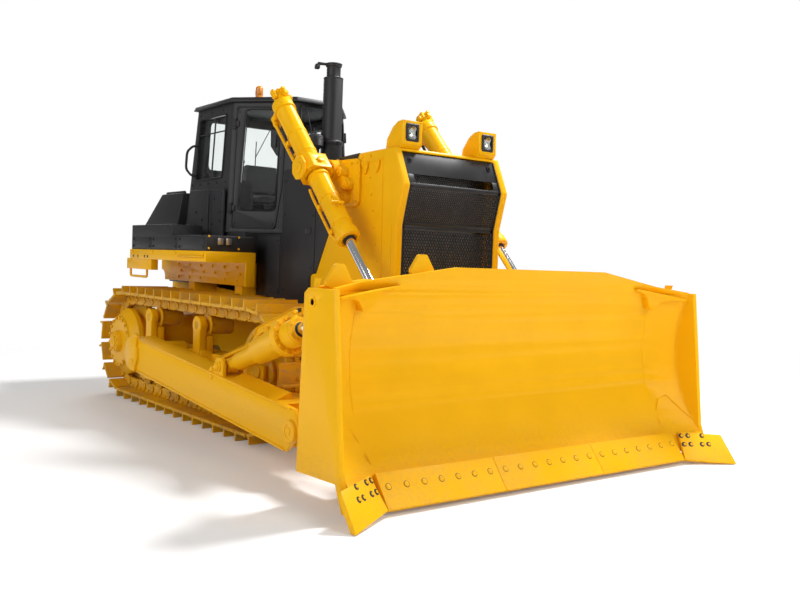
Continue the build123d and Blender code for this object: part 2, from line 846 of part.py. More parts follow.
for side, sign in SIDES:
    up = -sign
    plane, length = panel_plane(1, sign)
    with BuildPart() as door:
        with BuildSketch(plane) as leaf_outline:
            Polygon(*panel_outline(door_outline, up), align=None)
            fillet(leaf_outline.vertices(), 28)
        extrude(amount=-cab_wall)
        with BuildSketch(plane) as glass_hole:
            Polygon(*panel_outline(door_glass_outline, up), align=None)
            fillet(glass_hole.vertices(), 40)
        extrude(amount=200, both=True, mode=Mode.SUBTRACT)
        # lock case in the window's front edge, with the outside handle
        with BuildSketch(plane):
            Polygon((560, up * 1090), (450, up * 1090), (458, up * 920), (528, up * 823), (560, up * 823), align=None)
        extrude(amount=-cab_wall + 10)
        with BuildSketch(plane):
            with Locations((514, up * 976)):
                RectangleRounded(20, 128, 9)
        extrude(amount=24)
        for hinge_v in door_hinge_vs:
            with Locations(plane):
                with Locations(Location((door_axis_u, up * hinge_v, door_axis_n), (90, 0, 0))):
                    Cylinder(knuckle_radius, knuckle_length)
                with Locations((door_axis_u + 24, up * hinge_v, door_axis_n / 2 - 2)):
                    Box(36, knuckle_length, door_axis_n + 4)
                with Locations(Location((door_axis_u, up * hinge_v, door_axis_n), (90, 0, 0))):
                    Cylinder(hinge_pin_radius + seat_gap, knuckle_length + 10, mode=Mode.SUBTRACT)
    save(door, f"door_{side}")
    with BuildPart() as door_glass:
        with BuildSketch(plane.offset(-20)) as pane:
            Polygon(*panel_outline(door_glass_outline, up, -seat_gap), align=None)
            fillet(pane.vertices(), 40)
        extrude(amount=-8)
        with BuildSketch(plane):
            Polygon((561, up * 1091), (449, up * 1091), (457, up * 919), (527, up * 822), (561, up * 822), align=None)
        extrude(amount=-cab_wall, mode=Mode.SUBTRACT)
    save(door_glass, f"door_glass_{side}")

with BuildPart() as glass:
    for side, sign in SIDES:
        up = -sign
        plane, length = panel_plane(0, sign)
        with BuildSketch(plane.offset(-22)):
            with Locations((length * 0.5, up * side_window[2])):
                RectangleRounded(side_window[0] - 2 * seat_gap, side_window[1] - 2 * seat_gap, 60)
        extrude(amount=-8)
    with BuildSketch(front_plane.offset(-22)):
        with Locations((0, front_window[2])):
            RectangleRounded(front_window[0] - 2 * seat_gap, front_window[1] - 2 * seat_gap, 50)
    extrude(amount=-8)
    with BuildSketch(rear_plane.offset(-22)):
        with Locations((0, rear_window[2])):
            RectangleRounded(rear_window[0] - 2 * seat_gap, rear_window[1] - 2 * seat_gap, 60)
    extrude(amount=-8)
save(glass, "cab_glass")

with BuildPart() as seat:
    with BuildSketch(Plane.XY.offset(cab_low + 40 + seat_gap)):
        with Locations((seat_x, 0)):
            RectangleRounded(300, 300, 40)
    extrude(amount=300)
    with BuildSketch(Plane.XY.offset(cab_low + 330)):
        with Locations((seat_x + 20, 0)):
            RectangleRounded(520, 520, 80)
    extrude(amount=130)
    with BuildSketch(upright(0)):
        Polygon(
            (seat_x - 230, cab_low + 400),
            (seat_x - 110, cab_low + 400),
            (seat_x - 175, cab_low + 830),
            (seat_x - 270, cab_low + 830),
            align=None,
        )
    extrude(amount=235, both=True)
save(seat, "seat")

with BuildPart() as console:
    for sign in (-1, 1):
        with BuildSketch(Plane.XY.offset(cab_low + 40 + seat_gap)):
            with Locations((seat_x + 30, sign * 450)):
                RectangleRounded(560, 200, 40)
        extrude(amount=520)
        with Locations((seat_x + 190, sign * 450, cab_low + 640)):
            Cylinder(12, 300)
        with Locations((seat_x + 190, sign * 450, cab_low + 800)):
            Sphere(32)
    with BuildSketch(Plane.XY.offset(cab_low + 40 + seat_gap)):
        with Locations((dash_x, 0)):
            RectangleRounded(150, 460, 40)
    extrude(amount=560)
save(console, "control_consoles")

# ---- cab base, fenders and tank ----
with BuildPart() as base:
    with BuildSketch(Plane.XY.offset(fender_z[0])):
        Polygon(
            (cab_foot[0][0] - 10, -(fender_in - 3)),
            (bay_foot_x - seat_gap, -(fender_in - 3)),
            (bay_foot_x - seat_gap, fender_in - 3),
            (cab_foot[0][0] - 10, fender_in - 3),
            align=None,
        )
    extrude(amount=cab_low - fender_z[0] - seat_gap)
    with BuildSketch(Plane.XY.offset(deck_z + 100 + seat_gap)):
        with Locations((-1250, 0)):
            Rectangle(1300, 900)
    extrude(amount=fender_z[0] - deck_z - 100)
save(base, "cab_base")

with BuildPart() as fenders:
    for side, sign in SIDES:
        with BuildSketch(Plane.XY.offset(fender_z[0])):
            with Locations(((fender_x[0] + fender_x[1]) / 2, sign * (fender_in + fender_out) / 2)):
                Rectangle(fender_x[1] - fender_x[0], fender_out - fender_in)
        extrude(amount=fender_z[1] - fender_z[0])
        with BuildSketch(upright(sign * (fender_in + 12))):
            with BuildLine():
                Polyline(
                    (fender_tail_x - 100, fender_z[0] + 5),
                    (fender_tail_x - 100, fender_z[0] - 119),
                    (fender_tail_x - 60, fender_z[0] - 125),
                )
                ThreePointArc(
                    (fender_tail_x - 60, fender_z[0] - 125),
                    (fender_tail_x - 17, fender_z[0] - 155),
                    (fender_tail_x, fender_web_low),
                )
                Polyline(
                    (fender_tail_x, fender_web_low),
                    (fender_x[1], fender_web_low),
                    (fender_x[1], fender_z[0] + 5),
                    (fender_tail_x - 100, fender_z[0] + 5),
                )
            make_face()
        extrude(amount=12, both=True)
        # front closing strip and the step bracket under the rear corner
        with BuildSketch(Plane.XY.offset(fender_web_low)):
            with Locations((fender_x[1] - 8, sign * (fender_in + 55))):
                Rectangle(16, 110)
        extrude(amount=fender_z[0] - fender_web_low + 5)
        with BuildSketch(Plane.XY.offset(fender_z[0] - 115)):
            with Locations((fender_x[0] + 230, sign * (fender_out - 55))):
                Rectangle(710, 80)
        extrude(amount=120)
save(fenders, "fenders")

with BuildPart() as fender_boxes:
    for side, sign in SIDES:
        low_y, high_y = fender_in + 8, fender_out - 10
        with BuildSketch(Plane.XY.offset(fender_z[1] + seat_gap)):
            with Locations(((fender_x[0] + fender_x[1]) / 2, sign * (low_y + high_y) / 2)):
                Rectangle(fender_x[1] - fender_x[0] - 40, high_y - low_y)
        extrude(amount=box_low_z - fender_z[1])
        with BuildSketch(Plane.XY.offset(box_low_z)):
            with Locations(((fender_x[0] + 20 + box_step_x) / 2, sign * (945 + high_y) / 2)):
                Rectangle(box_step_x - fender_x[0] - 20, high_y - 945)
            with Locations(((fender_x[0] + 20 - 1660) / 2, sign * (low_y + high_y) / 2)):
                Rectangle(-1660 - fender_x[0] - 20, high_y - low_y)
        extrude(amount=box_z - box_low_z)
        # covers beside the cab, in two steps
        for front_x, rear_x, out_y in ((-1240, -1690, 850), (-945, -1241, 822)):
            with BuildSketch(Plane.XY.offset(box_low_z - 1)):
                with Locations(((front_x + rear_x) / 2, sign * (cover_in + out_y) / 2)):
                    Rectangle(front_x - rear_x, out_y - cover_in)
            extrude(amount=cover_high - box_low_z + 1)
save(fender_boxes, "fender_boxes")

with BuildPart() as tank:
    with BuildSketch(Plane.XY.offset(tank_z[0])):
        with Locations(((tank_foot_x[0] + tank_foot_x[1]) / 2, 0)):
            Rectangle(tank_foot_x[1] - tank_foot_x[0], 2 * tank_foot_half)
    with BuildSketch(Plane.XY.offset(tank_z[1])):
        with Locations(((tank_crown_x + tank_foot_x[1]) / 2, 0)):
            Rectangle(tank_foot_x[1] - tank_crown_x, 2 * tank_crown_half)
    loft()
    with BuildSketch(Plane.XY.offset(deck_z + 100 + seat_gap)):
        with Locations(((tank_sump_x + tank_foot_x[1] - 10) / 2, 0)):
            Rectangle(tank_foot_x[1] - 10 - tank_sump_x, 2 * tank_sump_half)
    extrude(amount=tank_z[0] - deck_z - 100)
save(tank, "rear_tank")

# ---- push arms ----
arm_run = math.hypot(arm_pin_x - trunnion_x, arm_pin_z - trunnion_z)
ball_radius = 70
socket_radius = 90
lug_half = 52
fork_half = 84
arm_pin_radius = 45

cap_reach = 124
cap_proud = 26
arm_boss_radius = 88
wedge_height = 50
wedge_run = 760
wedge_x = 1110
arm_top_fall = (arm_pin_z + arm_front_height / 2 - trunnion_z - arm_rear_height / 2) / arm_run
wedge_plane = Plane(
    origin=(wedge_x, 0, trunnion_z + arm_rear_height / 2 + (wedge_x - trunnion_x) * arm_top_fall),
    x_dir=(0, 1, 0),
    z_dir=(1, 0, arm_top_fall),
)
guard_y = 1389
guard_plate_thick = 12
guard_outline = (
    (150, 670),
    (215, 741),
    (858, 950),
    (946, 1082),
    (1561, 1291),
    (1670, 1300),
    (1673, 1240),
    (1342, 1105),
    (880, 918),
    (395, 725),
)
guard_shelf = ((170, 680), (400, 660), (400, 712), (200, 712))

for side, sign in SIDES:
    arm_plane = Plane(
        origin=(trunnion_x, sign * arm_y, trunnion_z),
        x_dir=(arm_pin_x - trunnion_x, 0, arm_pin_z - trunnion_z),
        z_dir=(0, -1, 0),
    )
    with BuildPart() as arm:
        with BuildSketch(arm_plane):
            Polygon(
                (0, -arm_rear_height / 2),
                (arm_run - 60, -arm_front_height / 2),
                (arm_run + 70, -arm_front_height / 2 + 130),
                (arm_run + 90, 0),
                (arm_run + 90, 60),
                (arm_run + 20, arm_front_height / 2),
                (0, arm_rear_height / 2),
                align=None,
            )
            Circle(arm_rear_height / 2)
        extrude(amount=arm_width / 2, both=True)
        # rear cap and front pin boss stand proud of the outer face
        with BuildSketch(arm_plane.offset(-sign * (arm_width / 2 - 1))):
            Circle(arm_rear_height / 2 - 4)
            with Locations((cap_reach / 2, 0)):
                Rectangle(cap_reach, arm_rear_height - 8)
        extrude(amount=-sign * (cap_proud + 1))
        with BuildSketch(arm_plane.offset(-sign * (arm_width / 2 - 1))):
            with Locations((arm_run, 0)):
                Circle(arm_boss_radius)
        extrude(amount=-sign * (cap_proud - 4))
        # wedge along the top, in front of the tilt foot
        with BuildSketch(wedge_plane):
            Polygon(
                (sign * (arm_y + arm_width / 2 - 5), -5),
                (sign * (arm_y - 5), wedge_height),
                (sign * (arm_y - 35), wedge_height),
                (sign * (arm_y - 35), -5),
                align=None,
            )
        extrude(amount=wedge_run)
        with BuildSketch(arm_plane.offset(-sign * 62)):
            Circle(ring_radius + seat_gap)
        extrude(amount=sign * (arm_width / 2 + 80), mode=Mode.SUBTRACT)
        with BuildSketch(arm_plane):
            with Locations((arm_run + 20, 0)):
                Rectangle(320, 2 * arm_front_height)
        extrude(amount=fork_half, both=True, mode=Mode.SUBTRACT)
        with BuildSketch(arm_plane):
            with Locations((arm_run, 0)):
                Circle(arm_pin_radius)
        extrude(amount=arm_width / 2 + 16, both=True)
        with Locations(arm_plane):
            with Locations((arm_run, 0, 0)):
                Sphere(ball_radius)
        # bracket ears for the tilt cylinder or brace
        for ear in (-1, 1):
            with BuildSketch(upright(sign * tilt_y + ear * 97)):
                Polygon(
                    (tilt_foot[0] - 190, 600),
                    (tilt_foot[0] + 90, 580),
                    (tilt_foot[0] + 78, tilt_foot[1] + 20),
                    (tilt_foot[0] + 40, tilt_foot[1] + 75),
                    (tilt_foot[0] - 40, tilt_foot[1] + 75),
                    align=None,
                )
            extrude(amount=16, both=True)
        with BuildSketch(upright(sign * tilt_y)):
            with Locations(tilt_foot):
                Circle(tilt_pin_radius)
        extrude(amount=116, both=True)
        with Locations((tilt_foot[0], sign * tilt_y, tilt_foot[1])):
            Sphere(tilt_ball_radius)
        # plate inboard of the tilt cylinder, which guards its hoses
        if side == "right":
            with BuildSketch(upright(-guard_y)):
                Polygon(*guard_outline, align=None)
            extrude(amount=guard_plate_thick / 2, both=True)
            with BuildSketch(upright(-(guard_y + arm_y - arm_width / 2) / 2)):
                Polygon(*guard_shelf, align=None)
            extrude(amount=(arm_y - arm_width / 2 - guard_y) / 2 + 5, both=True)
    save(arm, f"push_arm_{side}")

# ---- blade ----
wing_turn = math.radians(blade_wing_angle)
board_arc = ThreePointArc(blade_low, blade_deep, blade_top)
board_centre = board_arc.arc_center
board_radius = board_arc.radius


def board_x(z):
    """The mouldboard's face at that height."""
    return board_centre.X - math.sqrt(board_radius**2 - (z - board_centre.Y) ** 2)


root_in = blade_plate / 2
with BuildPart() as blade:
    for side, sign in SIDES:
        for reach, direction in (
            (blade_bend_y, (0, sign, 0)),
            ((blade_side_y - blade_bend_y + 300), (math.tan(wing_turn), sign, 0)),
        ):
            start_y = 0 if direction[0] == 0 else sign * blade_bend_y
            with BuildSketch(upright(start_y)):
                with BuildLine():
                    ThreePointArc(blade_low, blade_deep, blade_top)
                    Line(blade_top, (blade_top[0] - blade_plate * 1.4, blade_top[1]))
                    ThreePointArc(
                        (blade_top[0] - blade_plate * 1.4, blade_top[1]),
                        (blade_deep[0] - blade_plate, blade_deep[1]),
                        (blade_low[0] - blade_plate * 1.3, blade_low[1]),
                    )
                    Line((blade_low[0] - blade_plate * 1.3, blade_low[1]), blade_low)
                make_face()
                Polygon(
                    blade_low,
                    (blade_low[0] + 92, blade_low[1] - 118),
                    (blade_low[0] + 92 - 28, blade_low[1] - 118 - 22),
                    (blade_low[0] - 46, blade_low[1] + 12),
                    align=None,
                )
            extrude(amount=reach * Vector(*direction).length, dir=direction)
    # wings end inside the side plates
    for side, sign in SIDES:
        with BuildSketch(Plane.XY):
            with Locations((3000, sign * (blade_side_y - side_plate + 500))):
                Rectangle(3000, 1000)
        extrude(amount=2000, mode=Mode.SUBTRACT)
    # the top edge drops from the crown to the corners
    for side, sign in SIDES:
        with BuildSketch(Plane.YZ.offset(2000)):
            Polygon(
                (sign * blade_crown_y, blade_top[1]),
                (sign * (blade_side_y + 50), blade_corner_z - 7),
                (sign * (blade_side_y + 50), blade_top[1] + 300),
                (sign * blade_crown_y, blade_top[1] + 300),
                align=None,
            )
        extrude(amount=2000, mode=Mode.SUBTRACT)
    # side plates
    for side, sign in SIDES:
        with BuildSketch(upright(sign * (blade_side_y - side_plate / 2))):
            Polygon(
                (2995, blade_corner_z),
                (2685, blade_corner_z),
                (2636, blade_corner_z - 36),
                (2597, 225),
                (3081, 235),
                (3165, 60),
                (3212, 60),
                (3118, 317),
                align=None,
            )
        extrude(amount=side_plate / 2, both=True)
    # corner gussets in front, and on the right two humps behind the top edge
    for side, sign in SIDES:
        with BuildSketch(Plane.XY.offset(gusset_z)):
            Polygon(
                (2985, sign * (blade_side_y - 1)),
                (2760, sign * (blade_side_y - 1)),
                (2780, sign * (blade_bend_y - 130)),
                (2846, sign * (blade_bend_y - 165)),
                (2850, sign * (blade_bend_y + 10)),
                align=None,
            )
        extrude(amount=-26)
        with BuildSketch(upright(sign * (blade_side_y - side_plate / 2))):
            with Locations((2740, blade_corner_z - 95)):
                Circle(22)
        extrude(amount=side_plate, both=True, mode=Mode.SUBTRACT)
    for hump_y, hump_high, hump_low in humps:
        with BuildSketch(Plane.YZ.offset(hump_x)) as hump_outline:
            Polygon(
                (-hump_y - 130, hump_low),
                (-hump_y - 34, hump_high),
                (-hump_y + 34, hump_high),
                (-hump_y + 130, hump_low),
                align=None,
            )
            fillet(hump_outline.vertices().sort_by(Axis.Y), 30)
        extrude(amount=34)
    # back: two cross boxes and upright ribs
    with BuildSketch(upright(0)):
        Polygon((2712, 1400), (2775, 1560), (2690, 1560), (2650, 1400), align=None)
        Polygon((2975, 237), (2690, 760), (2640, 760), (2610, 237), align=None)
    extrude(amount=blade_side_y - side_plate, both=True)
    for rib_y in (-1450, -1180, -560, 560, 1180, 1450):
        with BuildSketch(upright(rib_y)):
            with BuildLine():
                ThreePointArc(
                    (board_x(740) - root_in, 740),
                    (board_x(1080) - root_in, 1080),
                    (board_x(1420) - root_in, 1420),
                )
                Polyline(
                    (board_x(1420) - root_in, 1420),
                    (2650, 1420),
                    (2640, 740),
                    (board_x(740) - root_in, 740),
                )
            make_face()
        extrude(amount=14, both=True)
    # ball lugs for the arms
    for side, sign in SIDES:
        with BuildSketch(upright(sign * arm_y)):
            Polygon(
                (arm_pin_x, arm_pin_z - 125),
                (2670, 262),
                (2670, 620),
                (arm_pin_x, arm_pin_z + 125),
                align=None,
            )
            with Locations((arm_pin_x, arm_pin_z)):
                Circle(125)
        extrude(amount=lug_half, both=True)
        with Locations((arm_pin_x, sign * arm_y, arm_pin_z)):
            Sphere(socket_radius, mode=Mode.SUBTRACT)
        # ears for the lift rod
        for ear in (-1, 1):
            with BuildSketch(upright(sign * lift_y + ear * (45 + 36 + 16))):
                Polygon(
                    (2640, rod_eye_z - 240),
                    (2640, rod_eye_z + 240),
                    (rod_eye_x - 30, rod_eye_z + 110),
                    (rod_eye_x - 95, rod_eye_z),
                    (rod_eye_x - 60, rod_eye_z - 80),
                    align=None,
                )
            extrude(amount=16, both=True)
        # ears for the tilt rod and brace
        for ear in (-1, 1):
            ear_y = tilt_y + sign * ear * (42 + 32 + 14)
            wing_x = max(0, ear_y - 14 - blade_bend_y) * math.tan(wing_turn)
            with BuildSketch(upright(sign * ear_y)):
                Polygon(
                    (board_x(tilt_head[1] - 190) - root_in + wing_x, tilt_head[1] - 190),
                    (board_x(tilt_head[1] - 60) - root_in + wing_x, tilt_head[1] - 60),
                    (board_x(tilt_head[1] + 60) - root_in + wing_x, tilt_head[1] + 60),
                    (tilt_head[0], tilt_head[1] + 95),
                    (tilt_head[0] - 90, tilt_head[1]),
                    (tilt_head[0] - 20, tilt_head[1] - 90),
                    align=None,
                )
            extrude(amount=14, both=True)
save(blade, "blade")

edge_run = Vector(edge_top[0] - edge_low[0], 0, edge_top[1] - edge_low[1])
edge_normal = Vector(edge_run.Z, 0, -edge_run.X)
edge_plane = Plane(origin=(edge_low[0], 0, edge_low[1]), x_dir=(0, 1, 0), z_dir=edge_normal)
with BuildPart() as cutting_edge:
    for low_y, high_y in ((-1626, -545), (-542, 542), (545, 1626)):
        with BuildSketch(edge_plane):
            with Locations(((low_y + high_y) / 2, edge_run.length / 2)):
                Rectangle(high_y - low_y, edge_run.length)
        extrude(amount=-edge_thick + seat_gap)
save(cutting_edge, "cutting_edge")

with BuildPart() as end_bits:
    for side, sign in SIDES:
        wing = Vector(math.sin(wing_turn), sign * math.cos(wing_turn), 0)
        normal = (wing.cross(edge_run) * sign).normalized()
        plane = Plane(origin=(edge_low[0], sign * blade_bend_y, edge_low[1]), x_dir=wing, z_dir=normal)
        with BuildSketch(plane):
            Polygon((3, 0), (485, -sign * 47), (412, sign * 235), (3, sign * 262), align=None)
        extrude(amount=-edge_thick * normal.dot(edge_normal.normalized()) + seat_gap)
    with BuildSketch(Plane.XY.offset(6)):
        with Locations((3200, 0)):
            Rectangle(1200, 5000)
    extrude(amount=-200, mode=Mode.SUBTRACT)
save(end_bits, "end_bits")

# ---- lift cylinders ----
lift_run = Vector(rod_eye_x - yoke_x, 0, rod_eye_z - yoke_z)
lift_length = lift_run.length
with BuildPart() as lift_brackets:
    for side, sign in SIDES:
        with BuildSketch(upright(sign * (bay_half + seat_gap + 12))):
            with Locations((1090, 2380)):
                RectangleRounded(420, 420, 60)
        extrude(amount=12, both=True)
        for boss_x, boss_z in bracket_bosses:
            arm_x, arm_z = boss_x - bracket_hub[0], boss_z - bracket_hub[1]
            with BuildSketch(upright(sign * (bay_half + seat_gap + 24))):
                with Locations(((boss_x + bracket_hub[0]) / 2, (boss_z + bracket_hub[1]) / 2)):
                    SlotCenterToCenter(
                        math.hypot(arm_x, arm_z), 2 * bracket_lobe, rotation=math.degrees(math.atan2(arm_z, arm_x))
                    )
            extrude(amount=-sign * bracket_thick)
        with BuildSketch(upright(sign * (bay_half + seat_gap + 12))):
            with Locations((yoke_x, yoke_z)):
                Circle(100)
        extrude(amount=-sign * (lift_y - yoke_half - seat_gap - bay_half - seat_gap - 12))
        with BuildSketch(upright(sign * (lift_y - yoke_half - 10))):
            with Locations((yoke_x, yoke_z)):
                Circle(45)
        extrude(amount=-sign * 46)
save(lift_brackets, "lift_brackets")

for side, sign in SIDES:
    lift_plane = Plane(origin=(yoke_x, sign * lift_y, yoke_z), x_dir=(0, 1, 0), z_dir=lift_run)
    with BuildPart() as yoke:
        with BuildSketch(lift_plane) as yoke_outline:
            Rectangle(2 * yoke_half, yoke_depth)
            chamfer(yoke_outline.vertices(), 58)
            Circle(barrel_radius + 10, mode=Mode.SUBTRACT)
        extrude(amount=85, both=True)
        with BuildSketch(upright(sign * (lift_y - yoke_half))):
            with Locations((yoke_x, yoke_z)):
                Circle(45 + seat_gap)
        extrude(amount=-sign * 40, mode=Mode.SUBTRACT)
        with Locations(lift_plane):
            Cylinder(30 + seat_gap, 280, rotation=(90, 0, 0), mode=Mode.SUBTRACT)
    save(yoke, f"lift_yoke_{side}")
    with BuildPart() as barrel:
        with BuildSketch(lift_plane.offset(-barrel_up)):
            Circle(barrel_radius)
        extrude(amount=barrel_up + barrel_down)
        with BuildSketch(lift_plane.offset(barrel_down - 80)):
            Circle(barrel_radius + 9)
        extrude(amount=80)
        with Locations(lift_plane):
            Cylinder(30, 276, rotation=(90, 0, 0))
        with BuildSketch(lift_plane.offset(-barrel_up + 60)):
            Circle(lift_rod_radius + rod_gap)
        extrude(amount=barrel_up + barrel_down, mode=Mode.SUBTRACT)
        with BuildSketch(lift_plane.offset(-barrel_up - head_cap)):
            Circle(barrel_radius + 10)
        extrude(amount=head_cap + 1)
        with BuildSketch(lift_plane.offset(-barrel_up - head_cap - head_valve[2])):
            with Locations((0, 34)):
                RectangleRounded(head_valve[0], head_valve[1], 14)
        extrude(amount=head_valve[2] + 1)
    save(barrel, f"lift_barrel_{side}")
    with BuildPart() as rod:
        with BuildSketch(lift_plane.offset(240)):
            Circle(lift_rod_radius)
        extrude(amount=lift_length - 240)
        with BuildSketch(upright(sign * lift_y)):
            with Locations((rod_eye_x, rod_eye_z)):
                Circle(eye_radius)
        extrude(amount=45, both=True)
    save(rod, f"lift_rod_{side}")

# ---- tilt cylinder on the right, brace on the left ----
tilt_run = Vector(tilt_head[0] - tilt_foot[0], 0, tilt_head[1] - tilt_foot[1])
tilt_length = tilt_run.length
tilt_plane = Plane(origin=(tilt_foot[0], -tilt_y, tilt_foot[1]), x_dir=(0, 1, 0), z_dir=tilt_run)
with BuildPart() as tilt_barrel:
    with BuildSketch(upright(-tilt_y)):
        with Locations(tilt_foot):
            Circle(tilt_lug_radius)
    extrude(amount=tilt_lug_half, both=True)
    with BuildSketch(tilt_plane.offset(20)):
        Circle(48)
    extrude(amount=200)
    with BuildSketch(tilt_plane.offset(180)):
        Circle(75)
    extrude(amount=380)
    with BuildSketch(tilt_plane.offset(540)):
        Circle(tilt_barrel_radius)
    extrude(amount=640)
    with BuildSketch(tilt_plane.offset(960)):
        Circle(tilt_barrel_radius + 40)
    extrude(amount=80)
    with BuildSketch(tilt_plane.offset(700)):
        Circle(tilt_rod_radius + rod_gap)
    extrude(amount=800, mode=Mode.SUBTRACT)
    with BuildSketch(upright(-tilt_y)):
        with Locations(tilt_foot):
            Circle(tilt_lug_bore)
    extrude(amount=90, both=True, mode=Mode.SUBTRACT)
    with Locations((tilt_foot[0], -tilt_y, tilt_foot[1])):
        Sphere(tilt_ball_radius + seat_gap, mode=Mode.SUBTRACT)
save(tilt_barrel, "tilt_barrel")
with BuildPart() as tilt_rod:
    with BuildSketch(tilt_plane.offset(860)):
        Circle(tilt_rod_radius)
    extrude(amount=tilt_length - 860)
    with BuildSketch(upright(-tilt_y)):
        with Locations(tilt_head):
            Circle(72)
    extrude(amount=42, both=True)
save(tilt_rod, "tilt_rod")

brace_plane = Plane(origin=(tilt_foot[0], tilt_y, tilt_foot[1]), x_dir=(0, 1, 0), z_dir=tilt_run)
with BuildPart() as brace:
    with BuildSketch(brace_plane.offset(20)):
        Circle(48)
    extrude(amount=tilt_length - 20)
    with BuildSketch(brace_plane.offset(190)):
        Circle(62)
    extrude(amount=tilt_length - 360)
    with BuildSketch(upright(tilt_y)):
        with Locations(tilt_foot):
            Circle(tilt_lug_radius)
    extrude(amount=tilt_lug_half, both=True)
    with BuildSketch(upright(tilt_y)):
        with Locations(tilt_head):
            Circle(78)
    extrude(amount=42, both=True)
    with BuildSketch(upright(tilt_y)):
        with Locations(tilt_foot):
            Circle(tilt_lug_bore)
    extrude(amount=90, both=True, mode=Mode.SUBTRACT)
    with Locations((tilt_foot[0], tilt_y, tilt_foot[1])):
        Sphere(tilt_ball_radius + seat_gap, mode=Mode.SUBTRACT)
save(brace, "tilt_brace")

beacon_foot = cab_high + roof_thick + 2 * seat_gap
with BuildPart() as beacon:
    with Locations((*beacon_at, beacon_foot + 25)):
        Cylinder(52, 50)
    with Locations((*beacon_at, beacon_foot + 49 + 70)):
        Cylinder(44, 140)
    with Locations((*beacon_at, beacon_foot + 49 + 140)):
        Sphere(44)
save(beacon, "beacon")
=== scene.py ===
"""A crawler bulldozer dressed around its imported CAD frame.

The file is laid out as an add-on: property groups hold the sizes and colours, one operator makes each group of
pieces, and a panel lists them. Lengths are metres: +X forward to the blade, +Y to the machine's left, +Z up.
"""

import contextlib
import json
import math

import bpy
from mathutils import Matrix, Vector

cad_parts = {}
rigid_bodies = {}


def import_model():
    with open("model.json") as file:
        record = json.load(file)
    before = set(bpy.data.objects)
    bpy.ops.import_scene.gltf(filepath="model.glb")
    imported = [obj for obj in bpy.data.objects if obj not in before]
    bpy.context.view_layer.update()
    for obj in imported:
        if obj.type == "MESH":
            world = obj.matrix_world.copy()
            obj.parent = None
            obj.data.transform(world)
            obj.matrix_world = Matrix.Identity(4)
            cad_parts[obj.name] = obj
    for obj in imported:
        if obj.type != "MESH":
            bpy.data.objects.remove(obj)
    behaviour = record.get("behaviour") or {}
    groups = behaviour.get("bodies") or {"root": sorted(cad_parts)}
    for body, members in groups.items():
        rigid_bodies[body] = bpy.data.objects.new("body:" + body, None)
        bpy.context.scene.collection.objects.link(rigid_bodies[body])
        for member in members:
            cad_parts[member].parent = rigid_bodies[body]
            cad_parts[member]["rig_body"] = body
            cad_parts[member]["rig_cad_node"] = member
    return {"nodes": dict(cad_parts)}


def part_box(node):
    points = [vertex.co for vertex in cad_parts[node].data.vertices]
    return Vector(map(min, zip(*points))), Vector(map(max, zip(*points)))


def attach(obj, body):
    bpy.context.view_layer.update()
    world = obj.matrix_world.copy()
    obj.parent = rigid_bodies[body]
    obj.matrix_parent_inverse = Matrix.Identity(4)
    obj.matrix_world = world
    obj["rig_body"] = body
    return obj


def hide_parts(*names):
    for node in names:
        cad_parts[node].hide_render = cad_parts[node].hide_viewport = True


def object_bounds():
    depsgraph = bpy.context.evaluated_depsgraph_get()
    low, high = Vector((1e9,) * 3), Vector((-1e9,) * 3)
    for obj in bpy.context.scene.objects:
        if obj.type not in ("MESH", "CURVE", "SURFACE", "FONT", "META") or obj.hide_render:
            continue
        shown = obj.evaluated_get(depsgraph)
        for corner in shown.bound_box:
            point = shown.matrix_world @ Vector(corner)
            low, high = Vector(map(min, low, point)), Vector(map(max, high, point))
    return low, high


bl_info = {
    "name": "Crawler bulldozer",
    "version": (1, 0, 0),
    "blender": (4, 5, 0),
    "location": "3D View > Sidebar > Bulldozer",
    "description": "Dresses the bulldozer's frame, piece by piece, and sets its studio",
    "category": "Object",
}

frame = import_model()
CAD_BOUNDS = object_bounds()
SIDES = (("right", -1), ("left", 1))
ORIGIN, FORWARD, LEFT, UP = (0, 0, 0), (1, 0, 0), (0, 1, 0), (0, 0, 1)


# ---- sizes and colours ----
def swatch(name, description, default):
    """A colour that the panel shows."""
    return bpy.props.FloatVectorProperty(
        name=name, description=description, subtype="COLOR", default=default, min=0, max=1
    )


def measure(name, description, default):
    """A length that the panel shows."""
    return bpy.props.FloatProperty(name=name, description=description, default=default, unit="LENGTH")


class BulldozerFinishes(bpy.types.PropertyGroup):
    """Colours of the machine's finishes"""

    yellow: swatch("Yellow paint", "Body colour", (0.92, 0.475, 0.003))
    charcoal: swatch("Charcoal paint", "Cab and hood", (0.021, 0.021, 0.023))
    dust: swatch("Dust", "Dry soil on low places", (0.36, 0.24, 0.11))
    steel: swatch("Steel", "Bare machined steel", (0.32, 0.31, 0.30))
    vinyl: swatch("Seat vinyl", "Operator's seat", (0.028, 0.028, 0.03))


class BulldozerSizes(bpy.types.PropertyGroup):
    """Sizes shared by many of the machine's small pieces"""

    bolt: measure("Bolt", "Across a large head's corners", 0.046)
    screw: measure("Screw", "Across a small head's corners", 0.024)
    weld: measure("Weld", "Width of a weld bead", 0.014)
    pipe: measure("Pipe", "Hydraulic pipe's radius", 0.017)


# ---- shader maths ----
class Signal:
    """A node's output that takes part in Python sums; each sum adds its Math node."""

    def __init__(self, paint, socket):
        self.paint = paint
        self.socket = socket

    def maths(self, operation, first, second):
        return self.paint.node("ShaderNodeMath", {"operation": operation}, {0: first, 1: second})

    def __add__(self, other):
        return self.maths("ADD", self, other)

    def __sub__(self, other):
        return self.maths("SUBTRACT", self, other)

    def __rsub__(self, other):
        return self.maths("SUBTRACT", other, self)

    def __mul__(self, other):
        return self.maths("MULTIPLY", self, other)

    def __pow__(self, other):
        return self.maths("POWER", self, other)

    __radd__ = __add__
    __rmul__ = __mul__


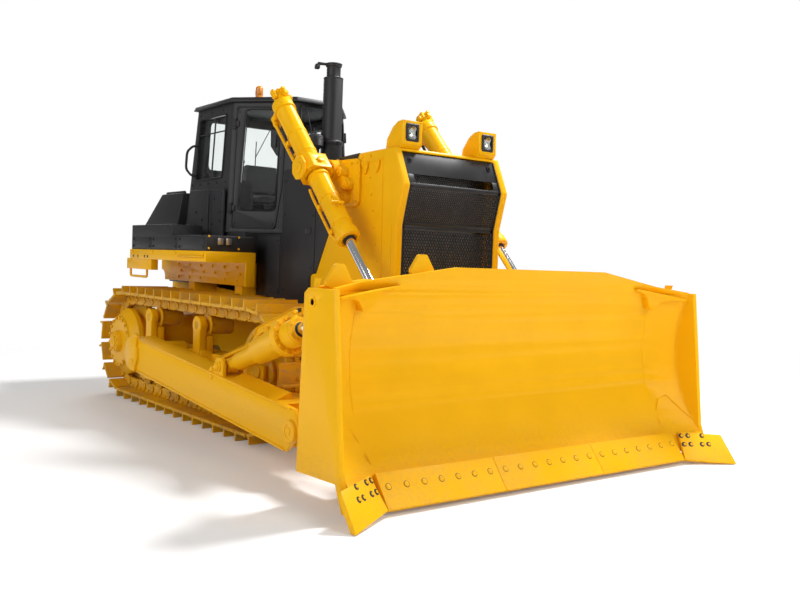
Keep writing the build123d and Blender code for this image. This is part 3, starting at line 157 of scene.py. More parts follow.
class Paint:
    """A material in the making: its nodes, and the Principled shader they feed."""

    def __init__(self, name, **constants):
        self.material = bpy.data.materials.new(name)
        self.material.use_nodes = True
        self.tree = self.material.node_tree
        self.shader = self.tree.nodes["Principled BSDF"]
        for socket, value in constants.items():
            self.shader.inputs[socket.replace("_", " ")].default_value = value
        self.place = self.node("ShaderNodeTexCoord", output="Object")

    def node(self, kind, settings=None, inputs=None, output=0):
        made = self.tree.nodes.new(kind)
        for key, value in (settings or {}).items():
            if key == "stops":
                ramp = made.color_ramp.elements
                ramp[0].position, ramp[0].color = value[0]
                ramp[1].position, ramp[1].color = value[-1]
                for position, color in value[1:-1]:
                    ramp.new(position).color = color
            else:
                setattr(made, key, value)
        for key, value in (inputs or {}).items():
            if isinstance(value, Signal):
                self.tree.links.new(value.socket, made.inputs[key])
            else:
                made.inputs[key].default_value = value
        return Signal(self, made.outputs[output])

    def noise(self, scale, detail=3.0, stretch=(1, 1, 1)):
        """Fractal noise on object coordinates, 0 to 1."""
        place = self.node("ShaderNodeMapping", None, {"Vector": self.place, "Scale": stretch})
        return self.node("ShaderNodeTexNoise", None, {"Vector": place, "Scale": scale, "Detail": detail})

    def height(self):
        """Height over the ground in metres."""
        return self.node("ShaderNodeSeparateXYZ", None, {0: self.place}, output="Z")

    def ramp(self, value, low, high):
        """0 at low to 1 at high, smoothly."""
        return self.node(
            "ShaderNodeMapRange", {"interpolation_type": "SMOOTHSTEP"},
            {"Value": value, "From Min": low, "From Max": high},
        )

    def blend(self, share, first, second):
        """The colour first where share is 0, and second where it is 1."""
        colors = {}
        for key, value in ((0, share), (6, first), (7, second)):
            colors[key] = (*value, 1) if isinstance(value, (tuple, list)) or hasattr(value, "r") else value
        return self.node("ShaderNodeMix", {"data_type": "RGBA"}, colors, output=2)

    def bump(self, height, distance, strength=1.0, under=None):
        """Bumps of that depth in metres."""
        inputs = {"Height": height, "Distance": distance, "Strength": strength}
        if under is not None:
            inputs["Normal"] = under
        return self.node("ShaderNodeBump", None, inputs)

    def feed(self, **links):
        """Links signals to the shader's sockets."""
        for socket, signal in links.items():
            self.tree.links.new(signal.socket, self.shader.inputs[socket.replace("_", " ")])
        return self.material


def times(color, factor):
    """That colour, lighter or darker."""
    return tuple(c * factor for c in color)


def gloss_paint(name, color, dust, dustiness, roughness=0.36, reach=1.1):
    """Sprayed enamel: orange peel, faint cloudiness, and dry dust that thins out upwards."""
    paint = Paint(name, Coat_Weight=0.04, Coat_Roughness=0.2, Specular_IOR_Level=0.12)
    clouds = paint.noise(2.2, 4)
    peel = paint.noise(260, 2)
    grit = paint.noise(38, 5)
    low = 1 - paint.ramp(paint.height(), 0.05, reach)
    dusty = low * paint.ramp(grit * 0.5 + clouds * 0.5, 0.40, 0.64) * dustiness
    shade = paint.blend(clouds, times(color, 0.90), tuple(min(1, c * 1.06) for c in color))
    return paint.feed(
        Base_Color=paint.blend(dusty, shade, dust),
        Roughness=clouds * 0.10 + dusty * 0.4 + (roughness - 0.05),
        Normal=paint.bump(peel, 0.0006, 0.25, paint.bump(grit, 0.0012, 0.12)),
    )


def satin_paint(name, color, roughness=0.5):
    """Charcoal powder coat: a fine pebble and pale handling marks."""
    paint = Paint(name, Coat_Weight=0.05, Coat_Roughness=0.3, Specular_IOR_Level=0.3)
    clouds = paint.noise(3.1, 4)
    pebble = paint.noise(420, 1)
    streaks = paint.noise(9, 4, (1, 1, 0.22))
    marks = paint.ramp(streaks, 0.52, 0.78) * 0.35
    shade = paint.blend(clouds, times(color, 0.82), times(color, 1.25))
    return paint.feed(
        Base_Color=paint.blend(marks, shade, tuple(c * 1.9 + 0.004 for c in color)),
        Roughness=clouds * 0.12 + marks * 0.2 + (roughness - 0.06),
        Normal=paint.bump(pebble, 0.0005, 0.3),
    )


def worn_paint(name, color, steel, dust):
    """Paint of the track and rollers: dusty, with steel showing in rubbed spots."""
    paint = Paint(name, Specular_IOR_Level=0.3)
    spots = paint.noise(21, 6)
    clouds = paint.noise(4.3, 3)
    rubbed = paint.ramp(spots, 0.60, 0.72)
    dusty = paint.ramp(clouds, 0.42, 0.70) * 0.45
    shade = paint.blend(clouds, times(color, 0.84), color)
    worn = paint.blend(rubbed * 0.55, paint.blend(dusty, shade, dust), steel)
    return paint.feed(
        Base_Color=worn,
        Metallic=rubbed * 0.5,
        Roughness=dusty * 0.4 + clouds * 0.15 + 0.36,
        Normal=paint.bump(spots, 0.0016, 0.35, paint.bump(paint.noise(190, 2), 0.0006, 0.3)),
    )


def machined_steel(name, color, roughness=0.35):
    """Dark machined or cast steel with fine grain."""
    paint = Paint(name, Metallic=0.9)
    clouds = paint.noise(7, 5)
    grain = paint.noise(340, 2)
    return paint.feed(
        Base_Color=paint.blend(clouds, times(color, 0.6), times(color, 1.2)),
        Roughness=clouds * 0.22 + (roughness - 0.1),
        Normal=paint.bump(grain, 0.0004, 0.25),
    )


def polished_rod(name):
    """Hard chrome with an oil film that gathers in faint rings."""
    paint = Paint(name, Metallic=1.0)
    film = paint.noise(5, 3)
    rings = paint.noise(60, 2, (0.2, 0.2, 1))
    return paint.feed(
        Base_Color=paint.blend(film, (0.72, 0.74, 0.76), (0.9, 0.91, 0.92)),
        Roughness=film * 0.08 + rings * 0.05 + 0.05,
    )


def window_glass(name, tint, roughness=0.0):
    """Tinted safety glass with a trace of dust."""
    paint = Paint(name, Transmission_Weight=1.0, IOR=1.08)
    film = paint.noise(6, 4)
    return paint.feed(
        Base_Color=paint.blend(film, tint, times(tint, 0.94)),
        Roughness=paint.ramp(film, 0.5, 0.8) * 0.02 + roughness,
    )


def moulded_rubber(name, color, roughness=0.6):
    """Rubber or textured plastic with a fine grain."""
    paint = Paint(name)
    grain = paint.noise(480, 2)
    bloom = paint.noise(12, 4)
    return paint.feed(
        Base_Color=paint.blend(bloom, times(color, 0.8), tuple(c * 1.35 + 0.002 for c in color)),
        Roughness=bloom * 0.15 + (roughness - 0.07),
        Normal=paint.bump(grain, 0.0005, 0.4),
    )


def grained_vinyl(name, color):
    """Seat cover: pebbled vinyl with soft creases."""
    paint = Paint(name, Sheen_Weight=0.2)
    pebble = paint.node("ShaderNodeTexVoronoi", None, {"Vector": paint.place, "Scale": 420.0})
    creases = paint.noise(14, 4)
    return paint.feed(
        Base_Color=paint.blend(creases, times(color, 0.8), times(color, 1.5)),
        Roughness=creases * 0.2 + 0.42,
        Normal=paint.bump(pebble, 0.0006, 0.5, paint.bump(creases, 0.002, 0.25)),
    )


def lamp_lens(name, color, glow):
    """A ribbed lens over a reflector."""
    paint = Paint(name, Coat_Weight=0.8, Coat_Roughness=0.03, Specular_IOR_Level=0.6)
    ribs = paint.node(
        "ShaderNodeTexWave",
        {"wave_type": "BANDS", "bands_direction": "Y", "wave_profile": "SIN"},
        {"Vector": paint.place, "Scale": 18.0},
    )
    return paint.feed(
        Base_Color=paint.blend(ribs, times(color, 0.72), color),
        Roughness=ribs * 0.12 + 0.06,
        Emission_Color=paint.blend(ribs, tuple(c * glow * 0.6 for c in color), tuple(c * glow for c in color)),
        Normal=paint.bump(ribs, 0.0015, 0.6),
    )


MATERIALS = {}


def make_materials(finishes):
    """Every finish of the machine, by the name its pieces ask for."""
    yellow, charcoal = tuple(finishes.yellow), tuple(finishes.charcoal)
    steel, dust, vinyl = tuple(finishes.steel), tuple(finishes.dust), tuple(finishes.vinyl)
    MATERIALS.update(
        yellow=gloss_paint("yellow_enamel", yellow, dust, 0.16),
        blade=gloss_paint("blade_enamel", yellow, dust, 0.22, 0.40, 0.6),
        charcoal=satin_paint("charcoal_coat", charcoal),
        grille=satin_paint("grille_coat", times(charcoal, 0.6), 0.42),
        track=worn_paint("track_paint", times(yellow, 0.92), steel, dust),
        steel=machined_steel("dark_steel", steel),
        bright=machined_steel("bright_steel", (0.56, 0.55, 0.53), 0.28),
        chrome=polished_rod("chrome_rod"),
        glass=window_glass("window_glass", (0.94, 0.97, 0.96)),
        rubber=moulded_rubber("black_rubber", (0.012, 0.012, 0.012)),
        plastic=moulded_rubber("trim_plastic", (0.022, 0.022, 0.024), 0.5),
        vinyl=grained_vinyl("seat_vinyl", vinyl),
        lamp=lamp_lens("lamp_lens", (0.86, 0.87, 0.88), 0.12),
        amber=lamp_lens("amber_lens", (0.95, 0.30, 0.01), 0.25),
        red=lamp_lens("red_lens", (0.62, 0.02, 0.01), 0.10),
    )


# ---- modelling, as by hand ----
def only(piece):
    """Selects that piece alone and makes it active."""
    bpy.ops.object.select_all(action="DESELECT")
    piece.select_set(True)
    bpy.context.view_layer.objects.active = piece
    return piece


def settle(piece):
    """Leaves the piece's object at the world's origin, with its place in its mesh."""
    only(piece)
    bpy.ops.object.transform_apply(location=True, rotation=True, scale=True)
    return piece


def block(low, high):
    """A box between two corners in any order, to be shaped further."""
    low, high = (Vector([pick(pair) for pair in zip(low, high)]) for pick in (min, max))
    bpy.ops.object.select_all(action="DESELECT")
    bpy.ops.mesh.primitive_cube_add(size=1, location=(low + high) / 2, scale=high - low)
    return settle(bpy.context.object)


def facing(direction):
    """The turn that takes +Z to a direction."""
    return Vector(direction).to_track_quat("Z", "Y").to_matrix().to_4x4()


def set_at(place, direction):
    """The matrix that stands a small piece at a place, its z along direction."""
    return Matrix.Translation(Vector(place)) @ facing(direction)


@contextlib.contextmanager
def editing(piece):
    """Edit mode on that piece alone, with its whole mesh selected."""
    only(piece)
    bpy.ops.object.mode_set(mode="EDIT")
    bpy.ops.mesh.select_all(action="SELECT")
    yield
    bpy.ops.object.mode_set(mode="OBJECT")


def normals_outwards():
    """Turns every face of the mesh in edit mode outwards."""
    bpy.ops.mesh.select_all(action="SELECT")
    bpy.ops.mesh.normals_make_consistent(inside=False)


def turned(start, direction, steps, sides=40):
    """A lathed piece from start: steps are (distance along, radius); both ends are closed."""
    (along, radius), *others = steps
    bpy.ops.object.select_all(action="DESELECT")
    bpy.ops.mesh.primitive_circle_add(vertices=sides, radius=radius, fill_type="NGON", location=(0, 0, along))
    piece = settle(bpy.context.object)
    with editing(piece):
        for distance, size in others:
            bpy.ops.mesh.extrude_region_move(TRANSFORM_OT_translate={"value": (0, 0, distance - along)})
            if size != radius:
                bpy.ops.transform.resize(value=(size / radius, size / radius, 1), center_override=(0, 0, distance))
            along, radius = distance, size
        normals_outwards()
    piece.data.transform(set_at(start, direction))
    return piece


def band(start, direction, steps, sides=40):
    """A lathed ring, open in the middle: its first and last radius are its bore."""
    piece = turned(ORIGIN, UP, steps, sides)
    only(piece)
    bpy.ops.object.mode_set(mode="EDIT")
    bpy.ops.mesh.select_mode(type="FACE")
    bpy.ops.mesh.select_all(action="DESELECT")
    bpy.ops.object.mode_set(mode="OBJECT")
    for polygon in piece.data.polygons:
        polygon.select = len(polygon.vertices) == sides
    bpy.ops.object.mode_set(mode="EDIT")
    bpy.ops.mesh.delete(type="ONLY_FACE")
    bpy.ops.mesh.select_mode(type="EDGE")
    bpy.ops.mesh.select_all(action="DESELECT")
    bpy.ops.mesh.select_non_manifold()
    bpy.ops.mesh.bridge_edge_loops()
    normals_outwards()
    bpy.ops.object.mode_set(mode="OBJECT")
    piece.data.transform(set_at(start, direction))
    return piece


def slab(outline, low, high, axis="Y"):
    """A plate with that outline: points across the plate's two other axes, extruded from low to high along axis."""
    order = {"X": (2, 0, 1), "Y": (0, 2, 1), "Z": (0, 1, 2)}[axis]
    bpy.ops.object.select_all(action="DESELECT")
    bpy.ops.mesh.primitive_circle_add(vertices=len(outline), radius=1, fill_type="NGON")
    piece = bpy.context.object
    for vertex, (u, v) in zip(piece.data.vertices, outline):
        place = (u, v, low)
        vertex.co = tuple(place[order[i]] for i in range(3))
    thickness = [0, 0, 0]
    thickness[order.index(2)] = high - low
    with editing(piece):
        bpy.ops.mesh.extrude_region_move(TRANSFORM_OT_translate={"value": thickness})
        normals_outwards()
    return piece


def oblong(u_low, v_low, u_high, v_high):
    """The outline of an upright oblong, from two of its corners."""
    return ((u_low, v_low), (u_high, v_low), (u_high, v_high), (u_low, v_high))


def rounded(piece, width, segments=2, angle=30):
    """Rounds the piece's sharp edges."""
    only(piece)
    bevel = piece.modifiers.new("edges", "BEVEL")
    bevel.width = width
    bevel.segments = segments
    bevel.limit_method = "ANGLE"
    bevel.angle_limit = math.radians(angle)
    bpy.ops.object.modifier_apply(modifier=bevel.name)
    return piece


def cut(piece, *tools):
    """Takes the tools' shapes out of the piece."""
    for tool in tools:
        only(piece)
        difference = piece.modifiers.new("cut", "BOOLEAN")
        difference.operation = "DIFFERENCE"
        difference.object = tool
        difference.solver = "EXACT"
        bpy.ops.object.modifier_apply(modifier=difference.name)
        bpy.data.objects.remove(tool)
    return piece


def inset_faces(piece, direction, thickness, depth):
    """Insets the faces that look along direction, and sinks or raises them."""
    only(piece)
    bpy.ops.object.mode_set(mode="EDIT")
    bpy.ops.mesh.select_all(action="DESELECT")
    bpy.ops.object.mode_set(mode="OBJECT")
    direction = Vector(direction).normalized()
    for polygon in piece.data.polygons:
        polygon.select = polygon.normal.dot(direction) > 0.98
    bpy.ops.object.mode_set(mode="EDIT")
    bpy.ops.mesh.select_mode(type="FACE")
    bpy.ops.mesh.inset(thickness=thickness, depth=depth)
    bpy.ops.object.mode_set(mode="OBJECT")
    return piece


def pipe(points, radius, sides=12, rounding=0.0):
    """A round bar or pipe bent through points; its corners are rounded by that radius."""
    bpy.ops.object.select_all(action="DESELECT")
    bpy.ops.curve.primitive_nurbs_path_add()
    line = bpy.context.object
    curve = line.data
    curve.splines.clear()
    path = list(map(Vector, points))
    if rounding:
        soft = [path[0]]
        for before, corner, after in zip(path, path[1:], path[2:]):
            enter = (before - corner).normalized() * min(rounding, (before - corner).length * 0.48)
            leave = (after - corner).normalized() * min(rounding, (after - corner).length * 0.48)
            for share in (0, 0.25, 0.5, 0.75, 1):
                soft.append(corner + enter * (1 - share) ** 2 + leave * share**2)
        path = soft + [path[-1]]
    spline = curve.splines.new("POLY")
    spline.points.add(len(path) - 1)
    for point, place in zip(spline.points, path):
        point.co = (*place, 1)
    curve.dimensions = "3D"
    curve.bevel_depth = radius
    curve.bevel_resolution = max(0, sides // 4 - 1)
    curve.use_fill_caps = True
    only(line)
    bpy.ops.object.convert(target="MESH")
    return settle(bpy.context.object)


def twin_of(piece):
    """A copy of the piece with its own mesh."""
    twin = piece.copy()
    twin.data = piece.data.copy()
    bpy.context.scene.collection.objects.link(twin)
    return twin


def copies(model, places):
    """The model at each place matrix, all in one piece; the model itself goes."""
    made = []
    for place in places:
        made.append(twin_of(model))
        made[-1].data.transform(place)
    bpy.data.objects.remove(model)
    return joined(made)


def joined(pieces):
    """One piece made of several."""
    pieces = list(pieces)
    bpy.ops.object.select_all(action="DESELECT")
    for piece in pieces:
        piece.select_set(True)
    bpy.context.view_layer.objects.active = pieces[0]
    if len(pieces) > 1:
        bpy.ops.object.join()
    return bpy.context.object


def mirrored(piece):
    """The piece's twin on the machine's other side."""
    twin = twin_of(piece)
    twin.data.transform(Matrix.Scale(-1, 4, LEFT))
    with editing(twin):
        bpy.ops.mesh.flip_normals()
    return twin


def both_sides(piece):
    """The piece and its mirror twin in one."""
    return joined([piece, mirrored(piece)])


def finished(name, piece, body, material, angle=35, stands_for=()):
    """Names, shades, paints and mounts a piece, or a list made one; stands_for are the CAD nodes it replaces."""
    piece = settle(joined(piece) if isinstance(piece, list) else piece)
    if not piece.data.polygons:
        raise RuntimeError(f"{name} has no faces")
    piece.name = name
    piece.data.name = name
    bpy.ops.object.shade_smooth_by_angle(angle=math.radians(angle))
    piece.data.materials.clear()
    piece.data.materials.append(MATERIALS[material])
    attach(piece, body)
    if stands_for:
        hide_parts(*stands_for)
    return piece


def bolt_head(across, washer=True):
    """A hexagon head on its washer, standing on z = 0."""
    head = turned(ORIGIN, UP, ((0, across * 0.5), (across * 0.26, across * 0.5), (across * 0.33, across * 0.40)), 6)
    if not washer:
        return head
    disc = turned(ORIGIN, UP, ((0, across * 0.62), (across * 0.07, across * 0.62)), 14)
    return joined([head, disc])


def bolts(name, spots, across, body, material, washer=True):
    """Bolt heads at (place, direction) spots, in one piece."""
    heads = copies(bolt_head(across, washer), [set_at(place, direction) for place, direction in spots])
    return finished(name, heads, body, material, 30)


def ring_of(center, axis, radius, count, phase=0.0):
    """Spots on a circle round center, all looking along axis."""
    turn = facing(axis)
    spots = []
    for index in range(count):
        angle = phase + math.tau * index / count
        reach = turn @ Vector((radius * math.cos(angle), radius * math.sin(angle), 0))
        spots.append((Vector(center) + reach, axis))
    return spots


# ---- the frame's own nodes ----
NODE_FINISHES = {
    "yellow": (
        "belly_guard", "drawbar_hitch", "fenders", "headlight_housings", "lift_barrel_left", "lift_barrel_right",
        "lift_brackets", "lift_yoke_left", "lift_yoke_right", "main_frame", "push_arm_left", "push_arm_right",
        "radiator_cowl", "tilt_barrel", "tilt_brace", "track_frames", "final_drives", "trunnion_rings",
    ),
    "blade": ("blade", "cutting_edge", "end_bits"),
    "track": ("track_left", "track_right", "track_rollers", "carrier_rollers", "idlers", "sprockets"),
    "charcoal": (
        "cab_base", "cab_body", "cab_roof", "door_left", "door_right", "engine_hood", "fender_boxes", "rear_tank",
        "exhaust_stack", "air_cleaner",
    ),
    "grille": ("grille",),
    "steel": ("radiator_core", "engine_block", "pivot_shafts"),
    "chrome": ("lift_rod_left", "lift_rod_right", "tilt_rod"),
    "glass": ("cab_glass", "door_glass_left", "door_glass_right"),
    "plastic": ("control_consoles",),
    "vinyl": ("seat",),
    "lamp": ("headlight_lenses",),
    "amber": ("beacon",),
}


class BULLDOZER_OT_frame_finishes(bpy.types.Operator):
    """Make the finishes and give each of the frame's nodes its own"""

    bl_idname = "bulldozer.frame_finishes"
    bl_label = "Frame finishes"

    def execute(self, context):
        make_materials(context.scene.bulldozer_finishes)
        for finish, nodes in NODE_FINISHES.items():
            for name in nodes:
                node = frame["nodes"][name]
                node.data.materials.clear()
                node.data.materials.append(MATERIALS[finish])
        return {"FINISHED"}


def softened(node, width, detail=None):
    """A CAD node with its sharp edges broken, as a press or a grinder leaves them; the piece stands for the node."""
    solid = frame["nodes"][node]
    piece, body = twin_of(solid), solid["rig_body"]
    del piece["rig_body"], piece["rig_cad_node"]
    piece.parent = None
    with editing(piece):
        bpy.ops.mesh.remove_doubles(threshold=0.00005)
        bpy.ops.mesh.dissolve_limited(angle_limit=math.radians(1.0))
    if detail:
        detail(piece)
    rounded(piece, width, 2, 32)
    material = next(finish for finish, nodes in NODE_FINISHES.items() if node in nodes)
    return finished(node + "_shape", piece, body, material, 34, (node,))


def weld(points, width):
    """A weld bead laid through points."""
    path = list(map(Vector, points))
    bead = []
    for start, end in zip(path, path[1:]):
        count = max(1, round((end - start).length / (width * 0.55)))
        bead.extend(start.lerp(end, step / count) for step in range(count))
    bead.append(path[-1])
    return pipe(bead, width * 0.5, 4)


# ---- softened sheet and plate work ----
SOFTENED = (
    # nodes, width of the broken edge
    (("radiator_cowl", "headlight_housings", "fenders", "rear_tank"), 0.014),
    (("engine_hood", "cab_base", "fender_boxes", "cab_roof", "main_frame", "belly_guard"), 0.008),
    (("push_arm_right", "push_arm_left", "blade", "track_frames", "lift_yoke_right", "lift_yoke_left"), 0.006),
    (("lift_barrel_right", "lift_barrel_left", "tilt_barrel", "tilt_brace", "lift_brackets", "final_drives"), 0.006),
    (("cab_body", "door_right", "door_left", "cutting_edge", "end_bits", "drawbar_hitch", "exhaust_stack"), 0.004),
    (("idlers", "carrier_rollers", "track_rollers", "trunnion_rings", "air_cleaner"), 0.004),
)


class BULLDOZER_OT_broken_edges(bpy.types.Operator):
    """Break the sharp edges of the frame's plates, castings and sheet metal"""

    bl_idname = "bulldozer.broken_edges"
    bl_label = "Broken edges"

    def execute(self, context):
        for nodes, width in SOFTENED:
            for node in nodes:
                softened(node, width, detail=trimmed_blade if node == "blade" else None)
        return {"FINISHED"}


# ---- blade ----
BOARD = (3.7957, 1.0148, 1.1056)  # the mouldboard's centre (x, z) and radius
BEND_Y = 1.626
SIDE_Y = 1.931
WING = math.radians(26)
EDGE_LOW, EDGE_TOP = Vector((3.208, 0, 0.048)), Vector((3.041, 0, 0.262))


def board(y, z, proud=0.0):
    """A point on the mouldboard's face, moved proud of it."""
    x = BOARD[0] - math.sqrt(BOARD[2] ** 2 - (z - BOARD[1]) ** 2) + max(0.0, abs(y) - BEND_Y) * math.tan(WING)
    return Vector((x + proud, y, z))


def trimmed_blade(piece):
    """Takes the flat corner shelves and the ends of the top box that stand above the corner off the blade."""
    for side in (-1, 1):
        shelf = [
            (board(y, 1.465).x + 0.002, side * y)
            for y in (1.44, BEND_Y, 1.929)
        ] + [(3.02, side * 1.929), (3.02, side * 1.44)]
        behind = [(2.7770, side * 1.70), (2.7770, side * 1.929), (board(1.929, 1.465).x - 0.045, side * 1.929)]
        above = [(side * y, z) for y, z in ((1.30, 1.5935), (1.929, 1.502), (1.929, 1.62), (1.30, 1.62))]
        cut(piece, slab(shelf, 1.4505, 1.4795, "Z"))
        cut(piece, slab(behind, 1.4505, 1.4795, "Z"))
        cut(piece, slab(above, 2.60, 2.7765, "X"))


def corner_guard(side):
    """The curved guard plate welded across a top corner of the mouldboard."""
    outline = (
        (1.31, 1.527), (1.32, 1.510), (1.44, 1.480), (1.49, 1.435), (1.52, 1.380), (1.575, 1.337), (1.610, 1.337),
        (1.63, 1.375), (1.68, 1.415), (1.76, 1.430), (1.89, 1.424), (1.89, 1.440),
    )
    plate = slab([(side * y, z) for y, z in outline], 0, 1, "X")
    for vertex in plate.data.vertices:
        proud = 0.042 + (1.527 - vertex.co.z) * 0.19 if vertex.co.x > 0.5 else -0.008
        vertex.co.x = board(vertex.co.y, vertex.co.z, proud).x
    return rounded(plate, 0.004, 2, 25)


def pin(place, axis, radius, half, body, name, material="yellow"):
    """A pin's two ends, each with a chamfered collar and a keeper held by two bolts."""
    axis = Vector(axis).normalized()
    ends = []
    for way in (-1, 1):
        foot = Vector(place) + axis * way * (half - 0.006)
        ends.append(turned(foot, axis * way, ((0, radius * 1.35), (0.010, radius * 1.35), (0.014, radius * 1.2),
                                              (0.015, radius), (0.024, radius), (0.029, radius * 0.86)), 28))
        keeper = slab(oblong(-0.42, -1.05, 0.42, 0.95), 0, 0.008, "Z")
        keeper.data.transform(set_at(foot + axis * way * 0.024, axis * way) @ Matrix.Scale(radius, 4, FORWARD)
                              @ Matrix.Scale(radius, 4, LEFT))
        ends.append(rounded(keeper, 0.002))
        for lift in (-0.7, 0.7):
            head = bolt_head(radius * 0.55)
            head.data.transform(
                set_at(foot + axis * way * 0.032, axis * way) @ Matrix.Translation((0, radius * lift, 0))
            )
            ends.append(head)
    return finished(name, ends, body, material, 30)


class BULLDOZER_OT_blade(bpy.types.Operator):
    """Weld the mouldboard's seams and bolt on its edges"""

    bl_idname = "bulldozer.blade"
    bl_label = "Blade details"

    def execute(self, context):
        sizes = context.scene.bulldozer_sizes
        beads = []
        for side in (-1, 1):
            heights = [0.30 + 0.0575 * step for step in range(21)]
            beads.append(weld([board(side * SIDE_Y, z, 0.002) for z in heights], sizes.weld))
            beads.append(weld([board(side * BEND_Y, z + 0.02, 0.0) for z in heights[:-1]], sizes.weld * 0.7))
            # wear plate let into the lower corner
            corners = ((1.60, 0.30), (1.615, 0.40), (1.70, 0.53), (1.78, 0.56), (1.92, 0.36))
            beads.append(weld([board(side * y, z, 0.001) for y, z in corners], 0.008))
            # side plate to the back of the cutting edge's foot
            beads.append(weld([(2.66, side * 1.929, 0.26), (2.98, side * 1.929, 0.26)], sizes.weld))
        finished("blade_welds", beads, "blade", "blade", 60)
        finished("corner_guards", [corner_guard(side) for side in (-1, 1)], "blade", "blade", 30)

        run = EDGE_TOP - EDGE_LOW
        outward = Vector((run.z, 0, -run.x)).normalized()
        spots = [
            (EDGE_LOW + run * 0.60 + Vector((0, y, 0)) + outward * 0.0002, outward)
            for y in [-1.56 + 0.156 * step for step in range(21)]
        ]
        dome = turned((0, 0, -0.001), UP, ((0, 0.021), (0.003, 0.0205), (0.006, 0.018), (0.008, 0.011)), 20)
        finished("edge_bolts", copies(dome, [set_at(*spot) for spot in spots]), "blade", "blade", 40)
        # painted shade: a thin black disc behind each edge bolt's dome stands for the shadowed gap round the head
        painted_shade_ring = turned((0, 0, -0.001), UP, ((0, 0.0245), (0.0014, 0.0245)), 20)
        finished("edge_bolt_painted_shade", copies(painted_shade_ring, [set_at(*spot) for spot in spots]), "blade", "rubber", 40)

        # the end bits' sunk bolts, in their dark square holes: the holes are painted shade, a flat black disc under
        # each bolt
        sunk = []
        for side in (-1, 1):
            along = Vector((math.sin(WING), side * math.cos(WING), 0))
            out = (along.cross(run) * side).normalized()
            up = side * out.cross(along)
            start = EDGE_LOW + Vector((0, side * BEND_Y, 0))
            for u, v in (
                (0.020, 0.226), (0.085, 0.226), (0.222, 0.226), (0.028, 0.143), (0.093, 0.143), (0.203, 0.143),
                (0.267, 0.143),
            ):
                sunk.append((start + along * u + up * v + out * 0.0002, out))
        # painted shade: flat black discs stand for the dark inside of the bolt holes
        painted_hole_shade = turned((0, 0, -0.001), UP, ((0, 0.023), (0.0022, 0.023)), 20)
        finished("end_bit_hole_shades", copies(painted_hole_shade, [set_at(*spot) for spot in sunk]), "blade", "rubber", 40)
        nub = turned((0.007, 0, 0), UP, ((0, 0.013), (0.0034, 0.013), (0.0044, 0.010)), 6)
        finished("end_bit_bolts", copies(nub, [set_at(*spot) for spot in sunk]), "blade", "blade", 30)

        for side, name in ((-1, "right"), (1, "left")):
            pin((2.515, side * 1.625, 1.318), LEFT, 0.036, 0.102, "blade", f"tilt_head_pin_{name}")
            pin((2.450, side * 0.870, 0.888), LEFT, 0.045, 0.113, "blade", f"lift_eye_pin_{name}")
        # ring round the lifting hole of each side plate
        steps = oblong(0, 0.040, 0.005, 0.024)
        rings = [turned((2.740, side * 1.975, 1.399), (0, side, 0), steps, 28) for side in (-1, 1)]
        finished("hole_rings", rings, "blade", "blade")
        return {"FINISHED"}


# ---- tracks ----
AXLE_Z, PITCH_R = 0.650, 0.485
IDLER_X, SPROCKET_X, TRACK_Y = 0.692, -2.458, 1.070
SHOES, SHOE_PITCH = 41, 0.228
CARRIER_XS, CARRIER_Z = (-1.668, -0.458), 0.9877


def track_places():
    """For each shoe, the matrix from link space (x along, z outwards) to its chord of the track."""
    straight = IDLER_X - SPROCKET_X
    length = 2 * straight + math.tau * PITCH_R

    def at(distance):
        distance %= length
        if distance < straight:
            return Vector((IDLER_X - distance, 0, AXLE_Z - PITCH_R))
        distance -= straight
        if distance < math.pi * PITCH_R:
            turn = distance / PITCH_R
            return Vector((SPROCKET_X - PITCH_R * math.sin(turn), 0, AXLE_Z - PITCH_R * math.cos(turn)))
        distance -= math.pi * PITCH_R
        if distance < straight:
            return Vector((SPROCKET_X + distance, 0, AXLE_Z + PITCH_R))
        turn = (distance - straight) / PITCH_R
        return Vector((IDLER_X + PITCH_R * math.sin(turn), 0, AXLE_Z + PITCH_R * math.cos(turn)))

    places = []
    for index in range(SHOES):
        start, end = at(length * index / SHOES), at(length * (index + 1) / SHOES)
        run = (end - start).normalized()
        out = Vector((-run.z, 0, run.x))
        across = out.cross(run)
        places.append(Matrix.Translation(start) @ Matrix((run, across, out)).transposed().to_4x4())
    return places


